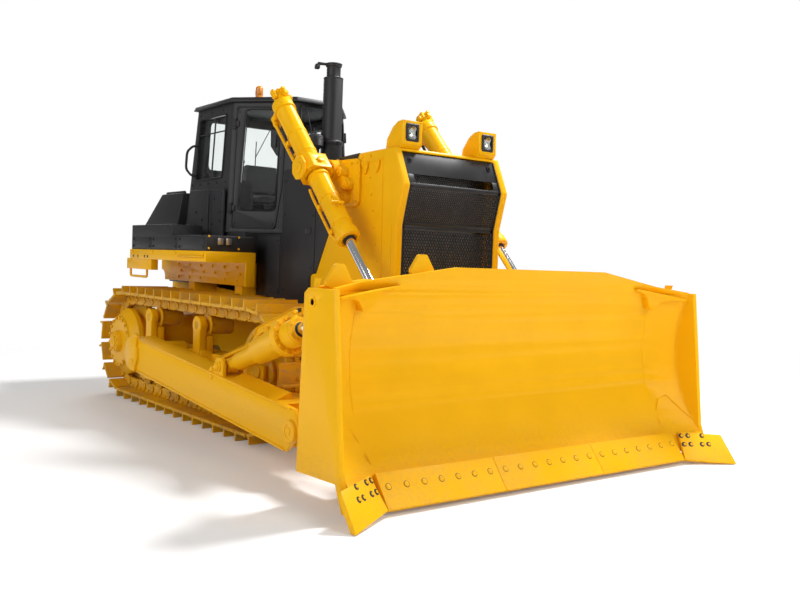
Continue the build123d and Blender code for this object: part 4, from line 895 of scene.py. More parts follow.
class BULLDOZER_OT_track_links(bpy.types.Operator):
    """Forge the links, pins and shoe bolts of both tracks"""

    bl_idname = "bulldozer.track_links"
    bl_label = "Track links"

    def execute(self, context):
        outline = []
        # an overlapped link: round at its pin, waisted on the running side, flat under the shoe
        for step in range(9):
            angle = math.pi * (0.5 + step / 8)
            outline.append((0.046 * math.cos(angle), 0.046 * math.sin(angle) - 0.002))
        outline += [(0.05, -0.040), (0.08, -0.052), (0.15, -0.052), (0.18, -0.040)]
        outline += [(SHOE_PITCH - 0.010, -0.034), (SHOE_PITCH + 0.020, 0.0), (SHOE_PITCH - 0.008, 0.046)]
        outline += [(0.175, 0.062), (0.135, 0.062), (0.120, 0.030), (0.098, 0.030), (0.085, 0.062), (0.045, 0.062)]
        link = rounded(slab(outline, 0, 0.012, "Y"), 0.004, 2, 40)
        boss = turned(
            (0, 0.010, 0), LEFT, ((0, 0.034), (0.012, 0.034), (0.014, 0.031), (0.014, 0.024), (0.010, 0.022)), 20,
        )
        outer = joined([link, boss])
        outer.data.transform(Matrix.Translation((0, 0.1025, 0)))
        plate = joined([outer, mirrored(outer)])
        places = track_places()
        for name, side in SIDES:
            shift = Matrix.Translation((0, side * TRACK_Y, 0))
            finished(
                f"track_links_{name}", copies(twin_of(plate), [shift @ place for place in places]), "root", "track",
                40,
            )
            spots = [
                (shift @ place @ Vector((along, across, 0.093)), (shift @ place).to_3x3() @ Vector(UP))
                for place in places
                for along in (0.062, 0.150)
                for across in (-0.093, 0.093)
            ]
            bolts(f"shoe_bolts_{name}", spots, 0.036, "root", "track")
            # the shoe's rolled trailing lip
            lip = slab(((0.008, 0.093), (0.030, 0.093), (0.024, 0.101), (0.012, 0.103)), -0.279, 0.279, "Y")
            lip = rounded(lip, 0.003)
            finished(f"shoe_lips_{name}", copies(lip, [shift @ place for place in places]), "root", "track", 50)
        bpy.data.objects.remove(plate)
        return {"FINISHED"}


class BULLDOZER_OT_undercarriage(bpy.types.Operator):
    """Cap the rollers, bolt the final drives and dress the track frames"""

    bl_idname = "bulldozer.undercarriage"
    bl_label = "Undercarriage details"

    def execute(self, context):
        sizes = context.scene.bulldozer_sizes
        caps, heads = [], []
        roller_z = Vector(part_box("track_rollers")[0]).z + 0.118
        for side in (-1, 1):
            face = side * 1.205
            for step in range(7):
                x = -1.960 + step * (2.110 / 6)
                caps.append(
                    turned(
                        (x, face, roller_z), (0, side, 0),
                        (
                            (0, 0.075), (0.020, 0.075), (0.026, 0.066), (0.034, 0.064), (0.036, 0.040),
                            (0.042, 0.036),
                        ),
                        24,
                    )
                )
                heads += ring_of((x, face + side * 0.021, roller_z), (0, side, 0), 0.054, 4, math.pi / 4)
        finished("roller_caps", caps, "root", "track")
        bolts("roller_cap_bolts", heads, 0.018, "root", "track")

        # drive cases: a broad tapered cover inside each track
        cases = [
            turned((SPROCKET_X, side * 1.195, AXLE_Z), (0, side, 0),
                   ((0, 0.385), (0.050, 0.385), (0.062, 0.376), (0.130, 0.296), (0.150, 0.290)), 56)
            for side in (-1, 1)
        ]
        finished("drive_cases", cases, "root", "yellow", 30)
        drive_face = Vector(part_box("final_drives")[1]).y
        hub = Vector((SPROCKET_X, 0, AXLE_Z))
        rings, spots = [], []
        for side in (-1, 1):
            face = side * drive_face
            rings.append(
                turned(
                    (hub.x, face - side * 0.004, hub.z), (0, side, 0),
                    (
                        (0, 0.116), (0.012, 0.116), (0.018, 0.108), (0.018, 0.070), (0.030, 0.066), (0.034, 0.058),
                        (0.034, 0.030), (0.028, 0.026),
                    ),
                    36,
                )
            )
            spots += ring_of((hub.x, face + side * 0.013, hub.z), (0, side, 0), 0.092, 8, 0.3)
            spots += ring_of((hub.x, side * 1.352, hub.z), (0, side, 0), 0.272, 18, 0.1)
        finished("drive_hubs", rings, "root", "yellow")
        bolts("drive_bolts", spots, 0.034, "root", "yellow")

        # idler hubs
        hubs, spots = [], []
        for side in (-1, 1):
            hubs.append(
                turned(
                    (IDLER_X, side * 1.150, AXLE_Z), (0, side, 0),
                    ((0, 0.150), (0.020, 0.150), (0.030, 0.138), (0.046, 0.100), (0.060, 0.092), (0.066, 0.080)),
                    36,
                )
            )
            spots += ring_of((IDLER_X, side * 1.171, AXLE_Z), (0, side, 0), 0.122, 6)
        finished("idler_hubs", hubs, "root", "track")
        bolts("idler_bolts", spots, 0.028, "root", "track")

        # carrier roller ends with their floating seals
        ends, spots = [], []
        for side in (-1, 1):
            for x in CARRIER_XS:
                ends.append(
                    turned(
                        (x, side * 1.228, CARRIER_Z), (0, side, 0),
                        (
                            (0, 0.078), (0.010, 0.078), (0.013, 0.070), (0.013, 0.052), (0.026, 0.050),
                            (0.030, 0.042),
                        ),
                        32,
                    )
                )
                spots += ring_of((x, side * 1.240, CARRIER_Z), (0, side, 0), 0.062, 5)
        finished("carrier_caps", ends, "root", "yellow")
        seals, posts = [], []
        for side in (-1, 1):
            for x in CARRIER_XS:
                seals.append(
                    turned(
                        (x, side * 1.160, CARRIER_Z), (0, side, 0),
                        ((0, 0.084), (0.004, 0.090), (0.020, 0.090), (0.024, 0.084)), 36,
                    )
                )
                post = block((x - 0.070, side * 1.150, 0.700), (x + 0.070, side * 1.236, 0.885))
                posts.append(rounded(post, 0.014, 3))
                neck = block((x - 0.050, side * 1.165, 0.880), (x + 0.050, side * 1.236, 0.935))
                posts.append(rounded(neck, 0.012, 3))
                spots += [((x + dx, side * 1.236, 0.855), (0, side, 0)) for dx in (-0.045, 0.045)]
        finished("carrier_seals", seals, "root", "rubber")
        finished("carrier_posts", posts, "root", "yellow")
        bolts("carrier_bolts", spots, 0.016, "root", "yellow", False)

        # track frame: two bolted access covers a side
        covers, spots = [], []
        for side in (-1, 1):
            for x in (-1.30, -0.16):
                cover = slab(oblong(x - 0.17, 0.40, x + 0.17, 0.56), side * 1.220, side * 1.228, "Y")
                covers.append(rounded(cover, 0.012, 3))
                for dx in (-0.145, 0.145):
                    for z in (0.425, 0.535):
                        spots.append(((x + dx, side * 1.228, z), (0, side, 0)))
        finished("frame_covers", covers, "root", "yellow")
        bolts("frame_cover_bolts", spots, sizes.screw, "root", "yellow")
        return {"FINISHED"}


# ---- push arms, tilt cylinder and brace ----
TRUNNION = Vector((-1.010, 0, 0.668))
ARM_PIN = Vector((2.125, 0, 0.400))
TILT_FOOT, TILT_HEAD = Vector((0.905, 0, 0.745)), Vector((2.515, 0, 1.318))
ARM_Y = 1.625


def along_line(start, end):
    """The function from (distance along, height over, y) to a point beside a line in the machine's XZ plane."""
    run = (end - start).normalized()
    over = Vector((-run.z, 0, run.x))
    return lambda along, height, y: start + run * along + over * height + Vector((0, y, 0))


def strip(at, corners, low_y, high_y, edge=0.003):
    """A bar across the machine whose outline is given beside a line."""
    outline = [(at(*corner, 0).x, at(*corner, 0).z) for corner in corners]
    return rounded(slab(outline, min(low_y, high_y), max(low_y, high_y), "Y"), edge)


def gland(at, y, distance, direction, radius, count, body, name, bolt):
    """The bolted ring at a cylinder's end."""
    center = at(distance, 0, y)
    ring = turned(
        center, direction,
        (
            (-0.004, radius), (0.020, radius), (0.026, radius - 0.006), (0.026, radius * 0.66),
            (0.034, radius * 0.62), (0.036, radius * 0.52),
        ),
        48,
    )
    finished(name + "_ring", ring, body, "yellow", 30)
    spots = ring_of(center + Vector(direction) * 0.022, direction, radius * 0.83, count, 0.2)
    bolts(name + "_bolts", spots, bolt, body, "yellow")


class BULLDOZER_OT_arms(bpy.types.Operator):
    """Dress the push arms, their pins, the tilt cylinder and the brace"""

    bl_idname = "bulldozer.arms"
    bl_label = "Push arms"

    def execute(self, context):
        sizes = context.scene.bulldozer_sizes
        arm = along_line(TRUNNION, ARM_PIN)
        length = (ARM_PIN - TRUNNION).length
        for name, side in SIDES:
            body = f"arm_{name}"
            face = side * (ARM_Y + 0.115)
            strips = [
                strip(
                    arm, ((0.13, 0.150), (length - 0.02, 0.155), (length - 0.02, 0.171), (0.13, 0.166)),
                    face - side * 0.002, face + side * 0.010,
                ),
                strip(
                    arm, ((0.13, -0.150), (0.13, -0.166), (length - 0.07, -0.171), (length - 0.07, -0.156)),
                    face - side * 0.002, face + side * 0.010,
                ),
            ]
            finished(f"arm_flanges_{name}", strips, body, "yellow", 40)
            beads = [
                weld(
                    [arm(0.14, 0.148, face + side * 0.002), arm(length - 0.10, 0.153, face + side * 0.002)],
                    sizes.weld * 0.8,
                ),
                weld(
                    [arm(0.14, -0.148, face + side * 0.002), arm(length - 0.12, -0.153, face + side * 0.002)],
                    sizes.weld * 0.8,
                ),
                weld([(0.715, side * 1.510, 0.694), (0.98, side * 1.510, 0.672)], sizes.weld),
                weld([(0.715, side * 1.738, 0.694), (0.98, side * 1.738, 0.672)], sizes.weld),
            ]
            finished(f"arm_welds_{name}", beads, body, "yellow", 60)
            boss = turned(
                arm(length, 0, side * 1.758), (0, side, 0),
                (
                    (0, 0.086), (0.006, 0.086), (0.011, 0.080), (0.011, 0.052), (0.005, 0.050), (0.005, 0.030),
                    (0.012, 0.026),
                ),
                40,
            )
            finished(f"arm_boss_{name}", boss, body, "yellow", 30)
            # cast ball cap at the rear: raised slot, lug and its split line
            cap = face + side * 0.026
            slot = slab([(arm(a, h, 0).x, arm(a, h, 0).z) for a, h in oblong(0.025, -0.10, 0.085, -0.045)],
                        *sorted((cap - side * 0.004, cap + side * 0.006)), "Y")
            slot = inset_faces(rounded(slot, 0.004), (0, side, 0), 0.012, -0.008)
            lug = strip(
                arm,
                ((-0.02, 0.150), (0.100, 0.150), (0.086, 0.192), (0.064, 0.205), (0.02, 0.205), (-0.006, 0.190)),
                cap - side * 0.055, cap - side * 0.015, 0.006,
            )
            seam = strip(arm, oblong(0.122, -0.160, 0.128, 0.160), cap - side * 0.030, cap + side * 0.003, 0.001)
            finished(f"ball_cap_trim_{name}", [slot, lug, seam], body, "yellow", 40)
            pin(TILT_FOOT + Vector((0, side * ARM_Y, 0)), LEFT, 0.034, 0.120, body, f"tilt_foot_pin_{name}")
            spots = [
                ((0.786, side * (ARM_Y + 0.1135), 0.712), (0, side, 0)),
                ((0.786, side * (ARM_Y + 0.1135), 0.650), (0, side, 0)),
            ]
            bolts(f"ear_bolts_{name}", spots, sizes.bolt, body, "yellow")
        self.guard(sizes)
        self.tilt(sizes)
        self.brace()
        return {"FINISHED"}

    def guard(self, sizes):
        edge = [(0.215, 0.741), (0.858, 0.950), (0.946, 1.082), (1.561, 1.291), (1.668, 1.300)]
        rim = [Vector((x, -1.397, z - 0.004)) for x, z in edge]
        finished("guard_rim", pipe(rim, 0.006, 8), "arm_right", "yellow", 60)
        spots = [
            ((x, -1.395, z), (0, -1, 0))
            for x, z in ((0.30, 0.728), (0.42, 0.768), (0.95, 1.02), (1.05, 1.07), (1.60, 1.262))
        ]
        bolts("guard_bolts", spots, sizes.screw, "arm_right", "yellow")
        clip = slab(((1.585, 1.245), (1.655, 1.262), (1.655, 1.290), (1.585, 1.276)), -1.409, -1.394, "Y")
        finished(
            "guard_clip", inset_faces(rounded(clip, 0.003), (0, -1, 0), 0.007, -0.006), "arm_right", "plastic", 40,
        )
        lines = []
        for lift in (0.0, -0.045):
            points = [
                (0.22, -1.43, 0.70 + lift), (0.50, -1.43, 0.795 + lift), (0.88, -1.43, 0.915 + lift),
                (1.06, -1.43, 1.045 + lift), (1.44, -1.43, 1.18 + lift),
            ]
            lines.append(pipe(points, sizes.pipe, 12, 0.08))
        finished("arm_pipes", lines, "arm_right", "yellow", 60)

    def tilt(self, sizes):
        barrel = along_line(TILT_FOOT, TILT_HEAD)
        direction = (TILT_HEAD - TILT_FOOT).normalized()
        y = -ARM_Y
        collar = turned(barrel(0, 0, y), direction, (
            (0.556, 0.076), (0.556, 0.096), (0.566, 0.104), (0.580, 0.110), (0.590, 0.1105)), 48)
        finished("tilt_barrel_step", collar, "tilt_barrel", "yellow", 40)
        spots = ring_of(barrel(1.040, 0, y), direction, 0.131, 12, 0.15)
        spots += ring_of(barrel(0.960, 0, y), -direction, 0.131, 12, 0.15)
        bolts("tilt_flange_bolts", spots, 0.036, "tilt_barrel", "yellow")
        gland(barrel, y, 1.176, direction, 0.106, 8, "tilt_barrel", "tilt_gland", 0.024)
        wiper = turned(barrel(1.20, 0, y), direction, ((0, 0.062), (0.014, 0.060), (0.018, 0.0495)), 32)
        finished("tilt_wiper", wiper, "tilt_barrel", "rubber")
        ports = []
        for distance in (0.66, 1.10):
            ports.append(turned(barrel(distance, 0.085, y + 0.02), barrel(0, 1, 0) - barrel(0, 0, 0),
                                ((0, 0.032), (0.045, 0.032), (0.050, 0.026), (0.062, 0.026)), 6))
        run = [
            barrel(0.66, 0.16, y + 0.02), barrel(0.66, 0.178, y + 0.045), barrel(0.75, 0.178, y + 0.085),
            barrel(1.02, 0.185, y + 0.085), barrel(1.10, 0.178, y + 0.045), barrel(1.10, 0.155, y + 0.02),
        ]
        ports.append(pipe(run, sizes.pipe, 12, 0.05))
        finished("tilt_ports", ports, "tilt_barrel", "yellow", 50)

    def brace(self):
        line = along_line(TILT_FOOT, TILT_HEAD)
        direction = (TILT_HEAD - TILT_FOOT).normalized()
        length = (TILT_HEAD - TILT_FOOT).length
        nuts = []
        for distance in (0.165, length - 0.230):
            nuts.append(
                rounded(turned(line(distance, 0, ARM_Y), direction, ((0, 0.072), (0.050, 0.072)), 6), 0.004)
            )
        for start in (0.100, length - 0.178):
            steps, along = [], 0.0
            while along < 0.066:
                steps += [(along, 0.0505), (along + 0.004, 0.0535), (along + 0.008, 0.0505)]
                along += 0.011
            nuts.append(turned(line(start, 0, ARM_Y), direction, steps, 28))
        finished("brace_nuts", nuts, "tilt_brace", "yellow", 35)


# ---- lift cylinders ----
YOKE, ROD_EYE = Vector((0.942, 0, 2.490)), Vector((2.450, 0, 0.888))
LIFT_Y = 0.870


class BULLDOZER_OT_lift_cylinders(bpy.types.Operator):
    """Fit the lift cylinders' yokes, glands, valves, pipes and brackets"""

    bl_idname = "bulldozer.lift_cylinders"
    bl_label = "Lift cylinders"

    def execute(self, context):
        sizes = context.scene.bulldozer_sizes
        lift = along_line(YOKE, ROD_EYE)
        down = (ROD_EYE - YOKE).normalized()
        over = lift(0, 1, 0) - lift(0, 0, 0)
        for name, side in SIDES:
            barrel, yoke = f"lift_barrel_{name}", f"lift_yoke_{name}"
            y, out = side * LIFT_Y, Vector((0, side, 0))
            rings = [
                band(lift(distance, 0, y), down, steps, 44)
                for distance, steps in (
                    (0.100, ((0, 0.088), (0.004, 0.102), (0.030, 0.104), (0.036, 0.088))),
                    (-0.800, ((0, 0.088), (0.006, 0.106), (0.022, 0.106), (0.028, 0.088))),
                    (
                        0.770,
                        (
                            (0, 0.088), (0.010, 0.1035), (0.050, 0.1035), (0.080, 0.1035), (0.092, 0.098),
                            (0.094, 0.070),
                        ),
                    ),
                )
            ]
            finished(f"barrel_rings_{name}", rings, barrel, "yellow", 30)
            bolts(f"gland_bolts_{name}", ring_of(lift(0.860, 0, y), down, 0.079, 8), 0.022, barrel, "yellow", False)
            wiper = band(
                lift(0.864, 0, y), down, ((0, 0.0435), (0.001, 0.058), (0.010, 0.057), (0.014, 0.0435)), 32,
            )
            finished(f"lift_wiper_{name}", wiper, barrel, "rubber")
            self.valve(name, side, lift, over, down, barrel)
            self.pipes(name, side, lift, over, down, barrel, sizes)
            # yoke: octagonal cap with a sunk trunnion cover, and its joint bolts
            cap = [
                (0.112 * math.cos(math.radians(22.5 + 45 * k)), 0.112 * math.sin(math.radians(22.5 + 45 * k)))
                for k in range(8)
            ]
            plate = slab(cap, 0, 0.020, "Z")
            plate = inset_faces(rounded(plate, 0.006), UP, 0.030, -0.005)
            plate.data.transform(set_at(YOKE + out * 1.0195, out) @ Matrix.Rotation(math.radians(47), 4, "Z"))
            hub = turned(
                YOKE + out * 1.032, out,
                ((0, 0.052), (0.010, 0.052), (0.014, 0.046), (0.014, 0.020), (0.010, 0.018)), 36,
            )
            finished(f"yoke_cap_{name}", [plate, hub], yoke, "yellow", 30)
            spots = [
                (lift(along, across, y) + out * 0.1505, out)
                for along in (-0.062, 0.062)
                for across in (-0.045, 0.045)
            ]
            spots += [
                (lift(0.0855, height, y + reach), down)
                for height in (-0.060, 0.060)
                for reach in (-0.118, 0.118)
            ]
            bolts(f"yoke_bolts_{name}", spots, 0.030, yoke, "yellow")
            # bracket: long bolts through its three lobes, and welds at its hub
            bosses, spots = [], []
            for x, z in ((1.076, 2.474), (1.166, 2.364), (1.100, 2.244)):
                bosses.append(
                    turned(
                        (x, side * 0.680, z), out, ((0, 0.044), (0.016, 0.043), (0.022, 0.038), (0.022, 0.024)), 28,
                    )
                )
                spots.append(((x, side * 0.700, z), out))
            finished(f"bracket_bosses_{name}", bosses, "root", "yellow", 35)
            bolts(f"bracket_bolts_{name}", spots, 0.040, "root", "yellow")
            ring = ring_of((0.942, side * 0.626, 2.490), out, 0.104, 20)
            bead = weld([spot for spot, _ in ring] + [ring[0][0]], sizes.weld)
            finished(f"bracket_weld_{name}", bead, "root", "yellow", 60)
            spots = [
                ((x, side * 0.6255, z), out)
                for x, z in ((0.925, 2.22), (0.925, 2.30), (1.255, 2.55), (1.17, 2.55), (1.255, 2.21))
            ]
            bolts(f"bracket_screws_{name}", spots, sizes.screw, "root", "yellow")
        return {"FINISHED"}

    def valve(self, name, side, lift, over, down, barrel):
        """The quick-drop valve on the barrel's head: flanged block, spools, caps and port blocks."""
        y, out = side * LIFT_Y, Vector((0, side, 0))
        parts = []
        for along, height, reach, radius in ((-0.925, 0.085, 0, 0.034), (-0.975, 0.085, 0.012, 0.028)):
            parts.append(
                turned(
                    lift(along, height, y + side * reach), over,
                    (
                        (0, radius), (0.024, radius), (0.028, radius * 0.8), (0.044, radius * 0.8),
                        (0.048, radius * 0.6),
                    ),
                    6,
                )
            )
        for way, along in ((1, -0.940), (-1, -0.940), (1, -0.985)):
            parts.append(
                turned(
                    lift(along, 0.045, y) + out * way * 0.052, out * way,
                    ((0, 0.026), (0.020, 0.026), (0.024, 0.033), (0.040, 0.033), (0.044, 0.022), (0.050, 0.020)),
                    16,
                )
            )
        parts.append(turned(lift(-0.998, 0.034, y), -down, ((-0.004, 0.030), (0.0005, 0.030)), 20))
        # port flange on the head, and the manifold that the side pipes leave
        flange = slab(oblong(-0.048, -0.036, 0.048, 0.036), 0, 0.030, "Z")
        flange = rounded(flange, 0.008)
        flange.data.transform(set_at(lift(-0.838, -0.098, y), -over))
        parts.append(flange)
        manifold = slab(
            ((-0.055, -0.034), (0.055, -0.034), (0.055, 0.028), (0.020, 0.046), (-0.055, 0.046)), 0, 0.052, "Z",
        )
        manifold = rounded(manifold, 0.007)
        manifold.data.transform(set_at(lift(-0.838, -0.126, y), -over))
        parts.append(manifold)
        finished(f"valve_{name}", parts, barrel, "yellow", 30)
        spots = [(lift(-0.838 + a, -0.178, y + b), -over) for a in (-0.034, 0.034) for b in (-0.024, 0.024)]
        spots += [
            (lift(-0.884 - 0.030 - a, 0.0925, y + side * b), over)
            for a in (0.0, 0.075)
            for b in (-0.046, 0.046)
        ]
        bolts(f"valve_bolts_{name}", spots, 0.018, barrel, "yellow", False)

    def pipes(self, name, side, lift, over, down, barrel, sizes):
        """Steel pipes clamped to the barrel, one with a short hose in it."""
        y = side * LIFT_Y
        near, far = y + side * 0.052, y - side * 0.012
        runs = [
            pipe(
                [
                    lift(-0.800, -0.150, near), lift(-0.760, -0.150, near), lift(-0.30, -0.142, near),
                    lift(-0.19, -0.136, near), lift(-0.13, -0.118, near + side * 0.01),
                ],
                sizes.pipe * 0.9, 12, 0.04,
            ),
            pipe(
                [
                    lift(-0.345, -0.148, far), lift(-0.30, -0.142, far), lift(-0.20, -0.136, far),
                    lift(-0.13, -0.110, far),
                ],
                sizes.pipe * 0.9, 12, 0.04,
            ),
            pipe(
                [
                    lift(0.15, -0.115, near), lift(0.24, -0.125, near), lift(0.70, -0.125, near),
                    lift(0.775, -0.112, near - side * 0.02),
                ],
                sizes.pipe * 0.8, 12, 0.04,
            ),
        ]
        for distance, reach in ((-0.775, far), (-0.36, far), (-0.775, near), (-0.20, near)):
            runs.append(turned(lift(distance, -0.148 if distance < -0.25 else -0.138, reach), down,
                               ((0, 0.022), (0.010, 0.025), (0.034, 0.025), (0.038, 0.019)), 6))
        clamps = []
        for distance in (-0.47, -0.215, 0.36, 0.66):
            clamps.append(
                band(lift(distance, 0, y), down, ((0, 0.088), (0.001, 0.096), (0.034, 0.096), (0.035, 0.088)), 44)
            )
            saddle = slab(oblong(-0.020, -0.050, 0.020, 0.062), 0, 0.046, "Z")
            saddle = rounded(saddle, 0.005)
            turn = Matrix((down, Vector((0, side, 0)), -over)).transposed().to_4x4()
            saddle.data.transform(Matrix.Translation(lift(distance + 0.017, -0.090, y)) @ turn)
            clamps.append(saddle)
        # lug and cross bar on the outer side
        lug = strip(
            lift, ((0.40, 0.085), (0.57, 0.085), (0.55, 0.125), (0.53, 0.135), (0.50, 0.130)), y + side * 0.020,
            y + side * 0.034,
        )
        bar = turned(
            lift(0.535, 0.118, y - side * 0.020), (0, side, 0), ((0, 0.015), (0.125, 0.015), (0.130, 0.010)), 16,
        )
        finished(f"barrel_pipes_{name}", runs + clamps + [lug, bar], barrel, "yellow", 40)
        hose = pipe(
            [
                lift(-0.745, -0.148, far), lift(-0.66, -0.158, far), lift(-0.48, -0.160, far),
                lift(-0.36, -0.148, far),
            ],
            0.0155, 12, 0.05,
        )
        finished(f"barrel_hose_{name}", hose, barrel, "rubber", 60)


# ---- cowl, grille, lamps and exhaust ----
def perforated(start, end, half, pitch, hole, wall=0.006):
    """A sheet across the machine with staggered round holes, from one line of its fold to the next."""
    bpy.ops.object.select_all(action="DESELECT")
    bpy.ops.mesh.primitive_circle_add(vertices=12, radius=hole)
    cell = bpy.context.object
    with editing(cell):
        bpy.ops.mesh.extrude_region_move(TRANSFORM_OT_translate={"value": (0, 0, 0)})
        bpy.ops.transform.resize(value=(2, 2, 1), center_override=(0, 0, 0))
    inner = []
    for vertex in cell.data.vertices:
        if vertex.co.length < hole * 1.5:
            inner.append(vertex.index)
            continue
        angle = math.atan2(vertex.co.y, vertex.co.x)
        turn = (angle + math.pi / 6) % (math.pi / 3) - math.pi / 6
        reach = pitch / 2 / math.cos(turn)
        vertex.co = (reach * math.cos(angle), reach * math.sin(angle), 0)
    for vertex in cell.data.vertices:
        vertex.select = vertex.index in inner
    bpy.ops.object.mode_set(mode="EDIT")
    bpy.ops.mesh.select_mode(type="VERT")
    bpy.ops.mesh.extrude_region_move(TRANSFORM_OT_translate={"value": (0, 0, -wall)})
    bpy.ops.object.mode_set(mode="OBJECT")
    run = (end - start).length
    rise = pitch * math.sqrt(3) / 2
    columns, rows = int(2 * half / pitch), int(run / rise / 2)
    sheet = copies(cell, [Matrix.Translation((0, 0, 0)), Matrix.Translation((pitch / 2, rise, 0))])
    for name, count, offset in (("across", columns, (pitch, 0, 0)), ("up", rows, (0, 2 * rise, 0))):
        array = sheet.modifiers.new(name, "ARRAY")
        array.count = count
        array.use_relative_offset = False
        array.use_constant_offset = True
        array.constant_offset_displace = offset
        only(sheet)
        bpy.ops.object.modifier_apply(modifier=name)
    v_axis = (end - start).normalized()
    u_axis = Vector(LEFT)
    normal = u_axis.cross(v_axis)
    if normal.x < 0:
        normal = -normal
    turn = Matrix((u_axis, v_axis, normal)).transposed().to_4x4()
    left = -(columns - 0.5) * pitch / 2
    shift = Matrix.Translation((left, (run - (2 * rows - 1) * rise) / 2, 0))
    sheet.data.transform(Matrix.Translation(start) @ turn @ shift)
    with editing(sheet):
        normals_outwards()
    return sheet


def ribbon(start, end, low_y, high_y, thick, edge=0.002):
    """A flat bar between two lines of the grille's fold, standing thick behind them."""
    run = (end - start).normalized()
    back = Vector((run.z, 0, -run.x))
    if back.x > 0:
        back = -back
    corners = [start, end, end + back * thick, start + back * thick]
    return rounded(slab([(corner.x, corner.z) for corner in corners], low_y, high_y, "Y"), edge)


class BULLDOZER_OT_grille(bpy.types.Operator):
    """Fold the grille from perforated sheet and frame it"""

    bl_idname = "bulldozer.grille"
    bl_label = "Grille"

    def execute(self, context):
        top, chin = Vector((1.773, 0, 2.619)), Vector((1.892, 0, 2.340))
        fold, foot = Vector((1.810, 0, 2.003)), Vector((1.810, 0, 1.250))
        half = 0.5265
        slot_top = top.lerp(chin, 0.66)
        slot_end = top.lerp(chin, 0.93)
        bars = [
            ribbon(top, slot_top, -half, half, 0.012),
            ribbon(slot_end, chin, -half, half, 0.012),
            ribbon(chin, chin.lerp(fold, 0.07), -half, half, 0.012),
            ribbon(chin.lerp(fold, 0.92), fold, -half, half, 0.012),
            ribbon(fold, fold.lerp(foot, 0.035), -half, half, 0.012),
            ribbon(fold.lerp(foot, 0.965), foot, -half, half, 0.012),
        ]
        for start, end in ((slot_top, slot_end), (chin, fold), (fold, foot)):
            margin = 0.075 if start == slot_top else 0.030
            for low, high in ((-half, -half + margin), (half - margin, half)):
                bars.append(ribbon(start, end, low, high, 0.012))
        sheets = [
            perforated(slot_top, slot_end, half - 0.070, 0.0235, 0.0088),
            perforated(chin.lerp(fold, 0.05), chin.lerp(fold, 0.94), half - 0.020, 0.0235, 0.0078),
            perforated(fold.lerp(foot, 0.03), fold.lerp(foot, 0.97), half - 0.020, 0.0295, 0.0105),
        ]
        finished("grille_sheet", bars + sheets, "root", "grille", 30, ("grille",))
        out = Vector((chin.z - top.z, 0, top.x - chin.x)) * -1
        spots = [(top.lerp(chin, 0.20) + Vector((0.001, y, 0)), out) for y in (-0.455, 0.455)]
        discs = turned((0, 0, -0.002), UP, ((0, 0.026), (0.006, 0.026), (0.009, 0.022)), 24)
        finished("grille_discs", copies(discs, [set_at(*spot) for spot in spots]), "root", "grille", 30)
        bolts(
            "grille_bolts", [(place + Vector(out).normalized() * 0.007, out) for place, _ in spots], 0.026, "root",
            "grille", False,
        )
        # rubber edge between the cowl and the sheet
        seal = []
        for side in (-1, 1):
            y = side * 0.524
            seal.append(
                pipe(
                    [
                        top + Vector((0.003, y, 0)), chin + Vector((0.004, y, 0)), fold + Vector((0.004, y, 0)),
                        foot + Vector((0.004, y, 0)),
                    ],
                    0.0055, 8,
                )
            )
        finished("grille_seal", seal, "root", "rubber", 60)
        return {"FINISHED"}


HOOD_HALF = 0.600


